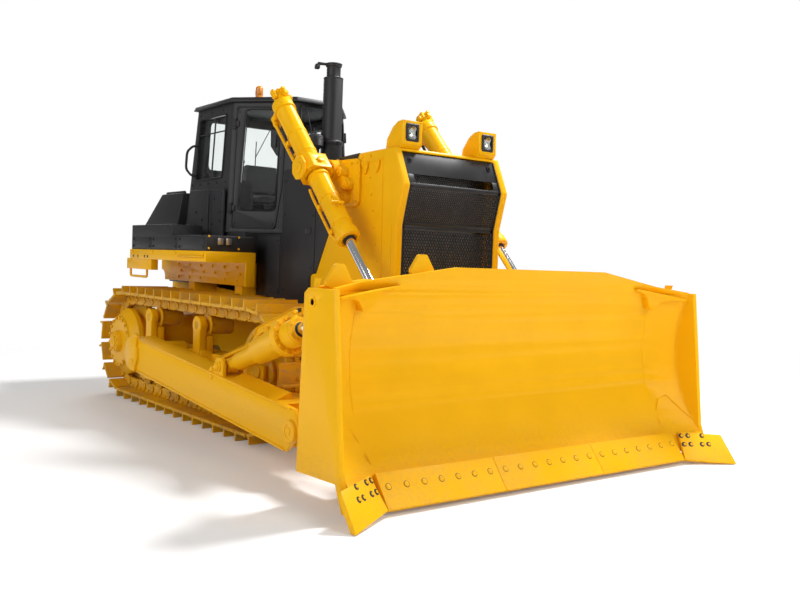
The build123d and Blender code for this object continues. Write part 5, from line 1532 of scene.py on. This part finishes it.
class BULLDOZER_OT_cowl(bpy.types.Operator):
    """Seam, latch and bolt the cowl and hood"""

    bl_idname = "bulldozer.cowl"
    bl_label = "Cowl and hood"

    def execute(self, context):
        sizes = context.scene.bulldozer_sizes
        strips, latches, spots, darks = [], [], [], []
        for side in (-1, 1):
            face = side * HOOD_HALF
            low, high = sorted((face - side * 0.001, face + side * 0.004))
            strips.append(
                rounded(slab(((1.642, 1.16), (1.650, 1.16), (1.612, 2.610), (1.604, 2.610)), low, high, "Y"), 0.001)
            )
            strips.append(rounded(slab(oblong(1.762, 1.16, 1.768, 2.010), low, high, "Y"), 0.001))
            strips.append(
                rounded(
                    slab(((1.262, 2.560), (1.262, 2.546), (1.600, 2.558), (1.600, 2.570)), low, high, "Y"), 0.001,
                )
            )
            spots += [((1.640 - 0.0262 * step, face, 1.25 + step * 0.145), (0, side, 0)) for step in range(10)]
            for x, z in ((1.36, 2.50), (1.53, 2.51)):
                hook = slab(
                    (
                        (x - 0.045, z + 0.055), (x + 0.045, z + 0.055), (x + 0.045, z + 0.010),
                        (x + 0.022, z - 0.045), (x - 0.002, z - 0.062), (x + 0.004, z - 0.015),
                        (x - 0.012, z + 0.006), (x - 0.045, z + 0.020),
                    ),
                    *sorted((face - side * 0.001, face + side * 0.020)), "Y",
                )
                latches.append(rounded(hook, 0.004))
                spots += [
                    ((x - 0.020, face + side * 0.020, z + 0.036), (0, side, 0)),
                    ((x + 0.024, face + side * 0.020, z + 0.036), (0, side, 0)),
                ]
            darks += [((1.300, face, 2.600), (0, side, 0)), ((1.42, face, 2.604), (0, side, 0))]
        finished("cowl_strips", strips, "root", "yellow", 40)
        finished("cowl_latches", latches, "root", "yellow", 40)
        bolts("cowl_bolts", spots, 0.020, "root", "yellow")
        bolts("cowl_screws", darks, sizes.screw, "root", "yellow")
        # hood: side doors with grips, and bolts along their edges
        panels, trims, spots = [], [], []
        for side in (-1, 1):
            face = side * HOOD_HALF
            low, high = sorted((face - side * 0.001, face + side * 0.006))
            for outline in (
                ((-0.535, 1.32), (-0.535, 1.90), (-0.085, 1.90), (-0.085, 1.32)),
                ((-0.045, 1.32), (-0.045, 2.50), (0.560, 2.53), (0.560, 1.56), (0.470, 1.50), (0.470, 1.32)),
            ):
                panels.append(rounded(slab(outline, low, high, "Y"), 0.003))
            for x, z in (
                (-0.50, 1.36), (-0.50, 1.86), (-0.12, 1.36), (-0.12, 1.86), (0.0, 1.37), (0.0, 1.75), (0.0, 2.12),
                (0.0, 2.45), (0.52, 2.10), (0.52, 2.48), (0.50, 1.60), (0.43, 1.37),
            ):
                spots.append(((x, face + side * 0.006, z), (0, side, 0)))
            grip = slab(oblong(0.40, 1.92, 0.50, 1.98), *sorted((face + side * 0.004, face + side * 0.014)), "Y")
            trims.append(inset_faces(rounded(grip, 0.003), (0, side, 0), 0.010, -0.006))
        finished("hood_doors", panels, "root", "charcoal", 40)
        finished("hood_grips", trims, "root", "plastic", 40)
        bolts("hood_bolts", spots, 0.020, "root", "charcoal")
        ridge = [
            rounded(
                slab(((1.19, 2.6365), (-0.05, 2.5615), (-0.05, 2.572), (1.19, 2.647)), y - 0.012, y + 0.012, "Y"),
                0.003,
            )
            for y in (-0.36, 0.36)
        ]
        finished("hood_ridges", ridge, "root", "charcoal", 40)
        return {"FINISHED"}


class BULLDOZER_OT_lamps(bpy.types.Operator):
    """Fit the headlamps with bezels, reflectors and lenses"""

    bl_idname = "bulldozer.lamps"
    bl_label = "Headlamps"

    def execute(self, context):
        low, high = map(Vector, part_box("headlight_lenses"))
        middle_z = (low.z + high.z) / 2
        frames, bowls, glasses, spots = [], [], [], []
        for y in (-0.434, 0.434):
            x = 1.7935
            bezel = slab(oblong(y - 0.072, middle_z - 0.080, y + 0.072, middle_z + 0.080),
                         x - 0.030, x + 0.006, "X")
            bezel = rounded(bezel, 0.014, 3)
            hole = rounded(slab(oblong(y - 0.047, middle_z - 0.056, y + 0.047, middle_z + 0.056),
                                x - 0.050, x + 0.050, "X"), 0.018, 4)
            frames.append(cut(bezel, hole))
            bowl = turned(
                (x - 0.044, y, middle_z), FORWARD,
                (
                    (0, 0.022), (0.006, 0.034), (0.020, 0.050), (0.036, 0.058), (0.034, 0.054), (0.018, 0.046),
                    (0.006, 0.028), (0.003, 0.010),
                ),
                28,
            )
            bowl.data.transform(Matrix.Translation((0, 0, middle_z * -0.12)) @ Matrix.Scale(1.12, 4, UP))
            bowls.append(bowl)
            bulb = turned((x - 0.040, y, middle_z), FORWARD, ((0, 0.009), (0.016, 0.009), (0.022, 0.006)), 14)
            bowls.append(bulb)
            pane = slab(oblong(y - 0.050, middle_z - 0.060, y + 0.050, middle_z + 0.060),
                        x - 0.006, x - 0.001, "X")
            glasses.append(rounded(pane, 0.002))
            spots += [
                ((x + 0.0005, y + dy, middle_z + dz), FORWARD)
                for dy, dz in ((-0.090, -0.085), (0.090, -0.085), (-0.090, 0.090), (0.090, 0.090))
            ]
        finished("lamp_bezels", frames, "root", "rubber", 40)
        finished("lamp_reflectors", bowls, "root", "bright", 40, ("headlight_lenses",))
        finished("lamp_glasses", glasses, "root", "glass", 40)
        bolts("lamp_screws", spots, 0.016, "root", "yellow", False)
        return {"FINISHED"}


class BULLDOZER_OT_exhaust(bpy.types.Operator):
    """Clamp the exhaust and hinge its rain cap"""

    bl_idname = "bulldozer.exhaust"
    bl_label = "Exhaust and air cleaner"

    def execute(self, context):
        x = -0.130
        rings = [
            turned((x, 0, 2.566), UP, ((0, 0.135), (0.008, 0.135), (0.010, 0.113)), 44),
            turned((x, 0, 2.892), UP, ((0, 0.119), (0.003, 0.123), (0.015, 0.123), (0.018, 0.119)), 44),
            turned((x, 0, 3.560), UP, ((0, 0.1025), (0.004, 0.1035), (0.012, 0.1035), (0.016, 0.098)), 44),
        ]
        tongue = rounded(slab(oblong(x + 0.116, 2.894, x + 0.140, 2.912), -0.014, 0.014, "Y"), 0.002)
        finished("exhaust_rings", rings + [tongue], "root", "charcoal", 30)
        # rain cap: a lid on a hinge, its counterweight towards the rear right
        lid = turned((x, 0, 3.7130), UP, ((0, 0.088), (0.003, 0.0885), (0.0075, 0.080), (0.0095, 0.030)), 40)
        arm = rounded(
            slab(
                ((-0.030, -0.010), (0.030, -0.010), (0.022, 0.1), (0.034, 0.175), (-0.034, 0.175), (-0.022, 0.1)),
                3.700, 3.7225, "Z",
            ),
            0.006,
        )
        arm.data.transform(Matrix.Translation((x, 0, 0)) @ Matrix.Rotation(math.radians(160), 4, "Z"))
        tip = rounded(
            slab(((-0.030, 0.150), (0.030, 0.150), (0.036, 0.200), (-0.036, 0.200)), 3.655, 3.704, "Z"), 0.010,
        )
        tip.data.transform(Matrix.Translation((x, 0, 0)) @ Matrix.Rotation(math.radians(160), 4, "Z"))
        finished("rain_cap", [lid, arm, tip], "root", "charcoal", 35)
        spots = [((x + 0.125 * math.cos(a), 0.125 * math.sin(a), 2.574), UP) for a in (0.8, 2.4, 3.9, 5.5)]
        bolts("exhaust_bolts", spots, 0.018, "root", "charcoal", False)
        # slatted bowl under the air cleaner's cap
        cleaner = (x + 0.010, -0.205)
        slats = [
            turned((*cleaner, 2.858 + 0.014 * step), UP, ((0, 0.0845), (0.003, 0.0865), (0.006, 0.0845)), 36)
            for step in range(6)
        ]
        knob = turned((*cleaner, 2.9745), UP, ((0, 0.014), (0.012, 0.014), (0.016, 0.009)), 14)
        finished("cleaner_slats", slats + [knob], "root", "plastic", 40)
        return {"FINISHED"}


# ---- cab ----
CAB_FOOT = ((-2.030, 0.745), (-0.930, 0.781), (-0.326, 0.300))
CAB_CROWN = ((-1.906, 0.673), (-0.976, 0.704), (-0.418, 0.260))
CAB_LOW, CAB_HIGH = 1.940, 3.330


def cab_panel(index, side):
    """For a panel of the cab, at(u along its foot, v up it, n outwards) as a place."""
    (x0, y0), (x1, y1), (x2, y2) = CAB_FOOT[index], CAB_FOOT[index + 1], CAB_CROWN[index]
    start = Vector((x0, side * y0, CAB_LOW))
    along = (Vector((x1, side * y1, CAB_LOW)) - start).normalized()
    rise = Vector((x2, side * y2, CAB_HIGH)) - start
    up = (rise - along * rise.dot(along)).normalized()
    out = along.cross(up)
    if out.y * side < 0:
        out = -out
    return lambda u, v, n=0.0: start + along * u + up * v + out * n


def end_panel(x_low, x_high):
    """For the cab's flat front or rear, at(u across from the middle, v up, n outwards)."""
    rise = Vector((x_high - x_low, 0, CAB_HIGH - CAB_LOW)).normalized()
    out = Vector((rise.z, 0, -rise.x)) * (1 if x_low > -1 else -1)
    return lambda u, v, n=0.0: Vector((x_low, u, CAB_LOW)) + rise * v + out * n


def seal(at, outline, radius, proud=0.002):
    """A rubber strip round a window: at gives places, outline is closed."""
    corners = [at(u, v, proud) for u, v in outline]
    middle = (corners[0] + corners[-1]) / 2
    return pipe([middle, *corners, middle], radius, 8, 0.045)


def window(middle, width, height):
    u, v = middle
    return oblong(u - width / 2, v - height / 2, u + width / 2, v + height / 2)


def bar(at, start, end, radius, n=0.0):
    return pipe([at(*start, n), at(*end, n)], radius, 10)


class BULLDOZER_OT_cab(bpy.types.Operator):
    """Seal the cab's windows and fit its bars, wipers, rail, hinges and beacon"""

    bl_idname = "bulldozer.cab"
    bl_label = "Cab fittings"

    def execute(self, context):
        sizes = context.scene.bulldozer_sizes
        door_glass = ((0.122, 0.240), (0.540, 0.240), (0.550, 0.340), (0.552, 1.312), (0.162, 1.312))
        door_edge = ((0.060, 0.050), (0.551, 0.050), (0.606, 0.489), (0.612, 0.700), (0.612, 1.340), (0.060, 1.340))
        seals, bars = [], []
        for name, side in SIDES:
            at, door = cab_panel(0, side), cab_panel(1, side)
            middle = (Vector(CAB_FOOT[1]) - Vector(CAB_FOOT[0])).length / 2
            seals.append(seal(at, window((middle, 0.941), 0.700, 0.690), 0.010))
            bars.append(bar(at, (middle + 0.060, 0.610), (middle + 0.060, 1.272), 0.009, -0.004))
            bars.append(bar(at, (middle - 0.335, 1.105), (middle + 0.335, 1.105), 0.008, -0.004))
            # screws below and above the side window
            spots = [(at(u, 0.545, 0.0005), at(0, 0, 1) - at(0, 0, 0)) for u in (0.10, 0.32, 0.54, 0.76, 0.98)]
            spots += [(at(u, 1.335, 0.0005), at(0, 0, 1) - at(0, 0, 0)) for u in (0.20, 0.50, 0.80)]
            bolts(f"cab_screws_{name}", spots, sizes.screw, "root", "charcoal")
            body = frame["nodes"][f"door_{name}"]["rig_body"]
            trim = [seal(door, door_glass, 0.009), seal(door, door_edge, 0.007, 0.001)]
            finished(f"door_seals_{name}", trim, body, "rubber", 60)

            grip = pipe(
                [
                    door(0.514, 0.922, 0.004), door(0.514, 0.922, 0.022), door(0.514, 1.030, 0.022),
                    door(0.514, 1.030, 0.004),
                ],
                0.009, 10, 0.012,
            )
            finished(f"door_grip_{name}", grip, body, "plastic", 50)
            outward = door(0, 0, 1) - door(0, 0, 0)
            spots = [
                (door(u, v, 0.001), outward)
                for u, v in ((0.085, 0.10), (0.52, 0.10), (0.085, 1.29), (0.58, 1.29), (0.572, 0.80))
            ]
            bolts(f"door_screws_{name}", spots, sizes.screw, body, "charcoal", False)
        front = end_panel(CAB_FOOT[2][0], CAB_CROWN[2][0])
        rear = end_panel(CAB_FOOT[0][0], CAB_CROWN[0][0])
        seals.append(seal(front, window((0, 1.010), 0.420, 0.700), 0.010))
        seals.append(seal(rear, window((0, 1.020), 1.060, 0.560), 0.010))
        finished("window_seals", seals, "root", "rubber", 60)
        for at, half in ((front, 0.15), (rear, 0.30)):
            for way in (-1, 1):
                bars.append(
                    pipe(
                        [
                            at(way * half, 1.345, 0.006), at(way * half, 1.345, 0.014),
                            at(way * half * 0.35, 0.95, 0.014),
                        ],
                        0.005, 8, 0.01,
                    )
                )
                bars.append(
                    bar(at, (way * half * 0.35 - 0.004, 1.14), (way * half * 0.35 + 0.004, 0.78), 0.006, 0.013)
                )
        finished("window_bars", bars, "root", "rubber", 60)
        # hand rail behind the window, on stand-off feet
        rail = pipe(
            [
                (-1.757, -0.735, 2.916), (-1.757, -0.800, 2.916), (-1.916, -0.800, 2.864), (-1.937, -0.800, 2.668),
                (-1.790, -0.800, 2.584), (-1.790, -0.735, 2.584),
            ],
            0.014, 12, 0.05,
        )
        finished("cab_rail", both_sides(rail), "root", "charcoal", 60)
        # the barrels of the doors' hinges
        hinges = []
        for side in (-1, 1):
            door = cab_panel(1, side)
            for v in (0.260, 1.160):
                hinges.append(
                    turned(
                        door(0.030, v - 0.045, 0.014), door(0, 1, 0) - door(0, 0, 0),
                        ((0, 0.012), (0.003, 0.014), (0.087, 0.014), (0.090, 0.012)), 18,
                    )
                )
        finished("door_hinges", hinges, "root", "charcoal", 40)
        # beacon: a black foot and an amber dome
        foot = turned(
            (-1.280, -0.239, 3.3805), UP, ((0, 0.0515), (0.034, 0.0515), (0.040, 0.046), (0.050, 0.046)), 32,
        )
        finished("beacon_foot", foot, "root", "plastic", 40)
        steps = [(0, 0.042), (0.004, 0.044), (0.060, 0.044), (0.064, 0.041), (0.070, 0.041), (0.074, 0.044)]
        rise = Vector(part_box("beacon")[1]).z - 3.4306
        steps += [(rise - 0.035, 0.043), (rise - 0.018, 0.038), (rise - 0.006, 0.025), (rise - 0.001, 0.010)]
        dome = turned((-1.280, -0.239, 3.4300), UP, steps, 32)
        finished("beacon_dome", dome, "root", "amber", 60, ("beacon",))
        ribs = [
            rounded(slab(oblong(-1.86, y - 0.02, -0.50, y + 0.02), 3.379, 3.3865, "Z"), 0.003)
            for y in (-0.14, 0.14)
        ]
        finished("roof_ribs", ribs, "root", "charcoal", 40)
        return {"FINISHED"}


def cushion(low, high, corner, crown, direction):
    """A foam block: sides pull in at the middle and the face that looks along direction is crowned."""
    low, high = Vector(low), Vector(high)
    piece = rounded(block(low, high), corner, 5, 20)
    with editing(piece):
        bpy.ops.mesh.subdivide(number_cuts=5, smoothness=0)
    middle, half = (low + high) / 2, (high - low) / 2
    axis = max(range(3), key=lambda i: abs(direction[i]))
    sign = 1 if direction[axis] > 0 else -1
    wide = [i for i in range(3) if i != axis]
    for vertex in piece.data.vertices:
        away = [(vertex.co[i] - middle[i]) / half[i] for i in range(3)]
        dome = math.cos(away[wide[0]] * math.pi / 2) * math.cos(away[wide[1]] * math.pi / 2)
        lift = crown * (dome - 1) * max(0, away[axis] * sign)
        # two stitched channels across the face
        groove = sum(math.exp(-(((away[wide[1]] - place) / 0.05) ** 2)) for place in (-0.42, 0.42))
        lift -= 0.010 * groove * max(0, away[axis] * sign)
        vertex.co[axis] += sign * lift
        for i in wide:
            vertex.co[i] -= 0.012 * away[i] * (1 - away[axis] ** 2) * abs(away[i])
    return piece


class BULLDOZER_OT_cab_interior(bpy.types.Operator):
    """Pad the seat and fit the levers"""

    bl_idname = "bulldozer.cab_interior"
    bl_label = "Seat and controls"

    def execute(self, context):
        foot = Vector(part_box("seat")[0]).z
        base = cushion((-1.655, -0.245, 2.285), (-1.155, 0.245, 2.398), 0.045, 0.022, UP)
        finished("seat_cushion", base, "root", "vinyl", 60, ("seat",))
        back = cushion((-1.640, -0.228, 2.405), (-1.540, 0.228, 2.765), 0.042, 0.020, FORWARD)
        lean = Matrix.Translation((-1.59, 0, 2.40)) @ Matrix.Rotation(
            math.radians(-8), 4, "Y",
        ) @ Matrix.Translation((1.59, 0, -2.40))
        back.data.transform(lean)
        finished("seat_back", back, "root", "vinyl", 60)
        shell = rounded(block((-1.640, -0.200, foot), (-1.180, 0.200, 2.284)), 0.012)
        finished("seat_base", shell, "root", "plastic", 40)
        levers, tops = [], []
        for side in (-1, 1):
            y = side * 0.450
            levers.append(
                turned((-1.240, y, 2.498), UP, ((0, 0.050), (0.012, 0.048), (0.040, 0.028), (0.060, 0.020)), 22)
            )
            tops.append(
                turned(
                    (-1.240, y, 2.660), UP,
                    ((0, 0.014), (0.020, 0.021), (0.055, 0.023), (0.070, 0.020), (0.078, 0.010)), 18,
                )
            )
        finished("lever_boots", levers, "root", "rubber", 60)
        finished("lever_knobs", tops, "root", "plastic", 60)
        return {"FINISHED"}


# ---- boxes, fenders, steps and tank ----
class BULLDOZER_OT_side_boxes(bpy.types.Operator):
    """Panel and bolt the boxes beside the cab"""

    bl_idname = "bulldozer.side_boxes"
    bl_label = "Side boxes"

    def execute(self, context):
        covers, recess_shades, spots = [], [], []
        for side in (-1, 1):
            out = (0, side, 0)
            face = side * 1.295
            for start, end in ((-2.225, -1.690), (-1.660, -1.010), (-0.980, -0.350)):
                plate = slab(oblong(start, 1.745, end, 1.865),
                             *sorted((face - side * 0.002, face + side * 0.004)), "Y")
                covers.append(rounded(plate, 0.003))
                spots += [
                    ((x, face + side * 0.004, z), out)
                    for x in (start + 0.035, end - 0.035)
                    for z in (1.765, 1.845)
                ]
            # painted shade: a thin black block behind the box lamps stands for the shadowed recess they sit in
            recess_shades.append(rounded(block((-0.322, side * 1.000, 1.777), (-0.316, side * 1.203, 1.877)), 0.002))
            spots += [((x, side * 0.8505, z), out) for x, z in ((-1.533, 2.162), (-1.375, 2.075), (-1.537, 2.014))]
            spots += [
                ((x, side * 0.8225, z), out)
                for x, z in ((-0.970, 2.352), (-1.143, 2.300), (-0.992, 2.159), (-1.189, 2.025), (-1.000, 2.065))
            ]
        finished("box_covers", covers, "root", "charcoal", 40)
        finished("box_recess_shade", recess_shades, "root", "rubber", 40)
        bolts("box_bolts", spots, 0.026, "root", "charcoal")
        lamps, heads = [], []
        for side in (-1, 1):
            for y in (1.055, 1.145):
                lamps.append(
                    rounded(block((-0.3165, side * y - 0.030, 1.795), (-0.309, side * y + 0.030, 1.860)), 0.003)
                )
        heads += [
            ((-0.3195, side * y, z), FORWARD)
            for side in (-1, 1)
            for y, z in ((1.268, 1.874), (0.941, 1.874), (1.268, 1.757), (0.942, 1.759))
        ]
        finished("box_panels", lamps, "root", "bright", 40)
        bolts("box_yellow_bolts", heads, 0.022, "root", "yellow", False)
        return {"FINISHED"}


class BULLDOZER_OT_fender_fittings(bpy.types.Operator):
    """Bolt the fenders' webs, and hang the grab handles and steps"""

    bl_idname = "bulldozer.fender_fittings"
    bl_label = "Fender fittings"

    def execute(self, context):
        spots, handles, holes = [], [], []
        for side in (-1, 1):
            out = (0, side, 0)
            web = side * 0.7815
            for z, shift in ((1.43, 0.0), (1.50, 0.07), (1.57, 0.0)):
                spots += [((-2.10 + step * 0.290 + shift, web, z), out) for step in range(6)]
            spots += [((x, side * 1.3055, 1.700), out) for x in (-2.20, -1.62, -1.02, -0.36)]
            y = side * 1.318
            handles.append(
                pipe(
                    [
                        (-0.941, side * 1.300, 1.670), (-0.941, y, 1.670), (-0.354, y, 1.670),
                        (-0.354, side * 1.300, 1.670),
                    ],
                    0.0095, 12, 0.010,
                )
            )
            # painted shade: flat black discs on the fender face stand for the dark insides of holes
            for x in (-2.167, -2.036, -1.845, -1.759):
                holes.append(turned((x, side * 1.3045, 1.652), out, ((0, 0.016), (0.0015, 0.016)), 20))
            handles.append(
                pipe(
                    [
                        (-1.900, side * 1.250, 1.514), (-1.900, side * 1.250, 1.421), (-2.380, side * 1.250, 1.421),
                        (-2.380, side * 1.250, 1.514),
                    ],
                    0.014, 12, 0.03,
                )
            )
        finished("fender_handles", handles, "root", "yellow", 60)
        finished("fender_hole_shades", holes, "root", "rubber", 40)
        bolts("fender_bolts", spots, 0.030, "root", "yellow")
        return {"FINISHED"}


class BULLDOZER_OT_tank(bpy.types.Operator):
    """Fit the rear tank's rails, filler and bolts"""

    bl_idname = "bulldozer.tank"
    bl_label = "Rear tank"

    def execute(self, context):
        rails = []
        for side in (-1, 1):
            y = side * 0.690
            rails.append(
                pipe(
                    [(-2.700, y, 2.395), (-2.700, y, 2.425), (-2.180, y, 2.425), (-2.180, y, 2.395)], 0.013, 12,
                    0.02,
                )
            )
        finished("tank_rails", rails, "root", "charcoal", 60)
        filler = turned(
            (-2.450, -0.330, 2.405), UP,
            ((0, 0.070), (0.012, 0.070), (0.016, 0.058), (0.050, 0.058), (0.056, 0.050)), 32,
        )
        grip = rounded(block((-2.505, -0.338, 2.456), (-2.395, -0.322, 2.474)), 0.004)
        finished("tank_filler", [filler, grip], "root", "plastic", 40)
        spots = [(place, UP) for place, _ in ring_of((-2.450, -0.330, 2.4125), UP, 0.064, 6)]
        spots += [((-2.70, y, 2.4085), UP) for y in (-0.60, -0.20, 0.20, 0.60)]
        spots += [((-2.20, y, 2.4085), UP) for y in (-0.60, 0.60)]
        bolts("tank_bolts", spots, 0.022, "root", "charcoal", False)
        return {"FINISHED"}


# ---- stage ----
class BULLDOZER_OT_stage(bpy.types.Operator):
    """Lay the floor, hang the lights and place the camera"""

    bl_idname = "bulldozer.stage"
    bl_label = "Studio"

    def execute(self, context):
        low, high = CAD_BOUNDS
        middle = (Vector(low) + Vector(high)) / 2
        length = high[0] - low[0]
        self.lay_floor(middle, length)
        self.hang_lights(context)
        self.place_camera(context)
        context.scene.view_settings.view_transform = "Standard"
        return {"FINISHED"}

    def lay_floor(self, middle, length):
        bpy.ops.object.select_all(action="DESELECT")
        bpy.ops.mesh.primitive_circle_add(
            vertices=96, radius=length * 6, fill_type="NGON", location=(middle.x, middle.y, 0),
        )
        floor = settle(bpy.context.object)
        floor.name = "studio_floor"
        paint = Paint("studio_floor", Roughness=0.9, Specular_IOR_Level=0.1)
        reach = paint.node("ShaderNodeVectorMath", {"operation": "LENGTH"}, {0: paint.place}, output="Value")
        far = paint.ramp(reach, length * 0.80, length * 1.30)
        seen = paint.node("ShaderNodeLightPath", output="Is Camera Ray")
        glossy = paint.node("ShaderNodeLightPath", output="Is Glossy Ray")
        through = paint.node("ShaderNodeLightPath", output="Is Transmission Ray")
        white = paint.node("ShaderNodeEmission", None, {"Color": (1, 1, 1, 1), "Strength": 1.0}, output="Emission")
        paint.shader.inputs["Base Color"].default_value = (0.82, 0.82, 0.82, 1)
        glow = paint.node(
            "ShaderNodeEmission", None,
            {"Color": paint.blend(seen, (0, 0, 0), (0.10, 0.10, 0.10)), "Strength": 1.0}, output="Emission",
        )
        lit = paint.node(
            "ShaderNodeAddShader", None, {0: Signal(paint, paint.shader.outputs[0]), 1: glow}, output="Shader",
        )
        mixed = paint.node(
            "ShaderNodeMixShader",
            None,
            {0: far * (seen + glossy + through), 1: lit, 2: white},
            output="Shader",
        )
        paint.tree.links.new(mixed.socket, paint.tree.nodes["Material Output"].inputs["Surface"])
        floor.data.materials.append(paint.material)

    def hang_lights(self, context):
        lamps = (
            # name, place, aim, size, watts
            ("key", (1.6, 5.6, 10.5), (0.3, 0, 1.0), 2.6, 1900),
            ("front", (11.0, 1.5, 6.5), (2.4, 0, 1.2), 6.0, 430),
            ("side", (2.0, -11.0, 6.0), (-0.3, 0, 1.2), 7.0, 500),
            ("rear", (-9.0, 2.0, 7.0), (-1.5, 0, 1.5), 5.0, 260),
        )
        for name, place, aim, size, watts in lamps:
            bpy.ops.object.light_add(type="AREA", location=place)
            lamp = bpy.context.object
            lamp.name = name + "_light"
            lamp.data.shape = "DISK"
            lamp.data.size = size
            lamp.data.energy = watts
            lamp.rotation_euler = (Vector(aim) - Vector(place)).to_track_quat("-Z", "Y").to_euler()
        world = context.scene.world or bpy.data.worlds.new("studio")
        context.scene.world = world
        world.use_nodes = True
        nodes, links = world.node_tree.nodes, world.node_tree.links
        nodes.clear()
        output = nodes.new("ShaderNodeOutputWorld")
        room = nodes.new("ShaderNodeBackground")
        room.inputs["Color"].default_value = (1, 1, 1, 1)
        room.inputs["Strength"].default_value = 0.26
        backdrop = nodes.new("ShaderNodeBackground")
        backdrop.inputs["Color"].default_value = (1, 1, 1, 1)
        backdrop.inputs["Strength"].default_value = 1.0
        rays = nodes.new("ShaderNodeLightPath")
        seen = nodes.new("ShaderNodeMath")
        seen.operation = "ADD"
        links.new(rays.outputs["Is Camera Ray"], seen.inputs[0])
        links.new(rays.outputs["Is Transmission Ray"], seen.inputs[1])
        mixed = nodes.new("ShaderNodeMixShader")
        links.new(seen.outputs[0], mixed.inputs[0])
        links.new(room.outputs[0], mixed.inputs[1])
        links.new(backdrop.outputs[0], mixed.inputs[2])
        links.new(mixed.outputs[0], output.inputs["Surface"])

    def place_camera(self, context):
        place = Vector((7.947, -5.252, 1.688))
        yaw, pitch, roll = (math.radians(angle) for angle in (142.35, -2.38, 2.06))
        ahead = Vector((math.cos(yaw) * math.cos(pitch), math.sin(yaw) * math.cos(pitch), math.sin(pitch)))
        across = Vector((math.sin(yaw), -math.cos(yaw), 0))
        over = across.cross(ahead)
        right = across * math.cos(roll) + over * math.sin(roll)
        up = over * math.cos(roll) - across * math.sin(roll)
        turn = Matrix((right, up, -ahead)).transposed().to_4x4()
        bpy.ops.object.camera_add()
        camera = bpy.context.object
        camera.matrix_world = Matrix.Translation(place) @ turn
        camera.data.lens = 41.11
        camera.data.sensor_width = 36
        context.scene.camera = camera


class BULLDOZER_PT_panel(bpy.types.Panel):
    """The machine's groups of pieces, in the order they are made"""

    bl_idname = "BULLDOZER_PT_panel"
    bl_label = "Bulldozer"
    bl_space_type = "VIEW_3D"
    bl_region_type = "UI"
    bl_category = "Bulldozer"

    def draw(self, context):
        finishes, sizes = context.scene.bulldozer_finishes, context.scene.bulldozer_sizes
        for name in ("yellow", "charcoal", "dust", "steel", "vinyl"):
            self.layout.prop(finishes, name)
        for name in ("bolt", "screw", "weld", "pipe"):
            self.layout.prop(sizes, name)
        for operator in OPERATORS:
            self.layout.operator(operator.bl_idname)


OPERATORS = (
    BULLDOZER_OT_frame_finishes,
    BULLDOZER_OT_broken_edges,
    BULLDOZER_OT_blade,
    BULLDOZER_OT_track_links,
    BULLDOZER_OT_undercarriage,
    BULLDOZER_OT_arms,
    BULLDOZER_OT_lift_cylinders,
    BULLDOZER_OT_grille,
    BULLDOZER_OT_cowl,
    BULLDOZER_OT_lamps,
    BULLDOZER_OT_exhaust,
    BULLDOZER_OT_cab,
    BULLDOZER_OT_cab_interior,
    BULLDOZER_OT_side_boxes,
    BULLDOZER_OT_fender_fittings,
    BULLDOZER_OT_tank,
    BULLDOZER_OT_stage,
)
CLASSES = (BulldozerFinishes, BulldozerSizes, *OPERATORS, BULLDOZER_PT_panel)


def register():
    for kind in CLASSES:
        bpy.utils.register_class(kind)
    bpy.types.Scene.bulldozer_finishes = bpy.props.PointerProperty(type=BulldozerFinishes)
    bpy.types.Scene.bulldozer_sizes = bpy.props.PointerProperty(type=BulldozerSizes)


def unregister():
    del bpy.types.Scene.bulldozer_sizes
    del bpy.types.Scene.bulldozer_finishes
    for kind in reversed(CLASSES):
        bpy.utils.unregister_class(kind)


def main():
    register()
    for operator in OPERATORS:
        group, name = operator.bl_idname.split(".")
        getattr(getattr(bpy.ops, group), name)()


if __name__ == "__main__":
    main()
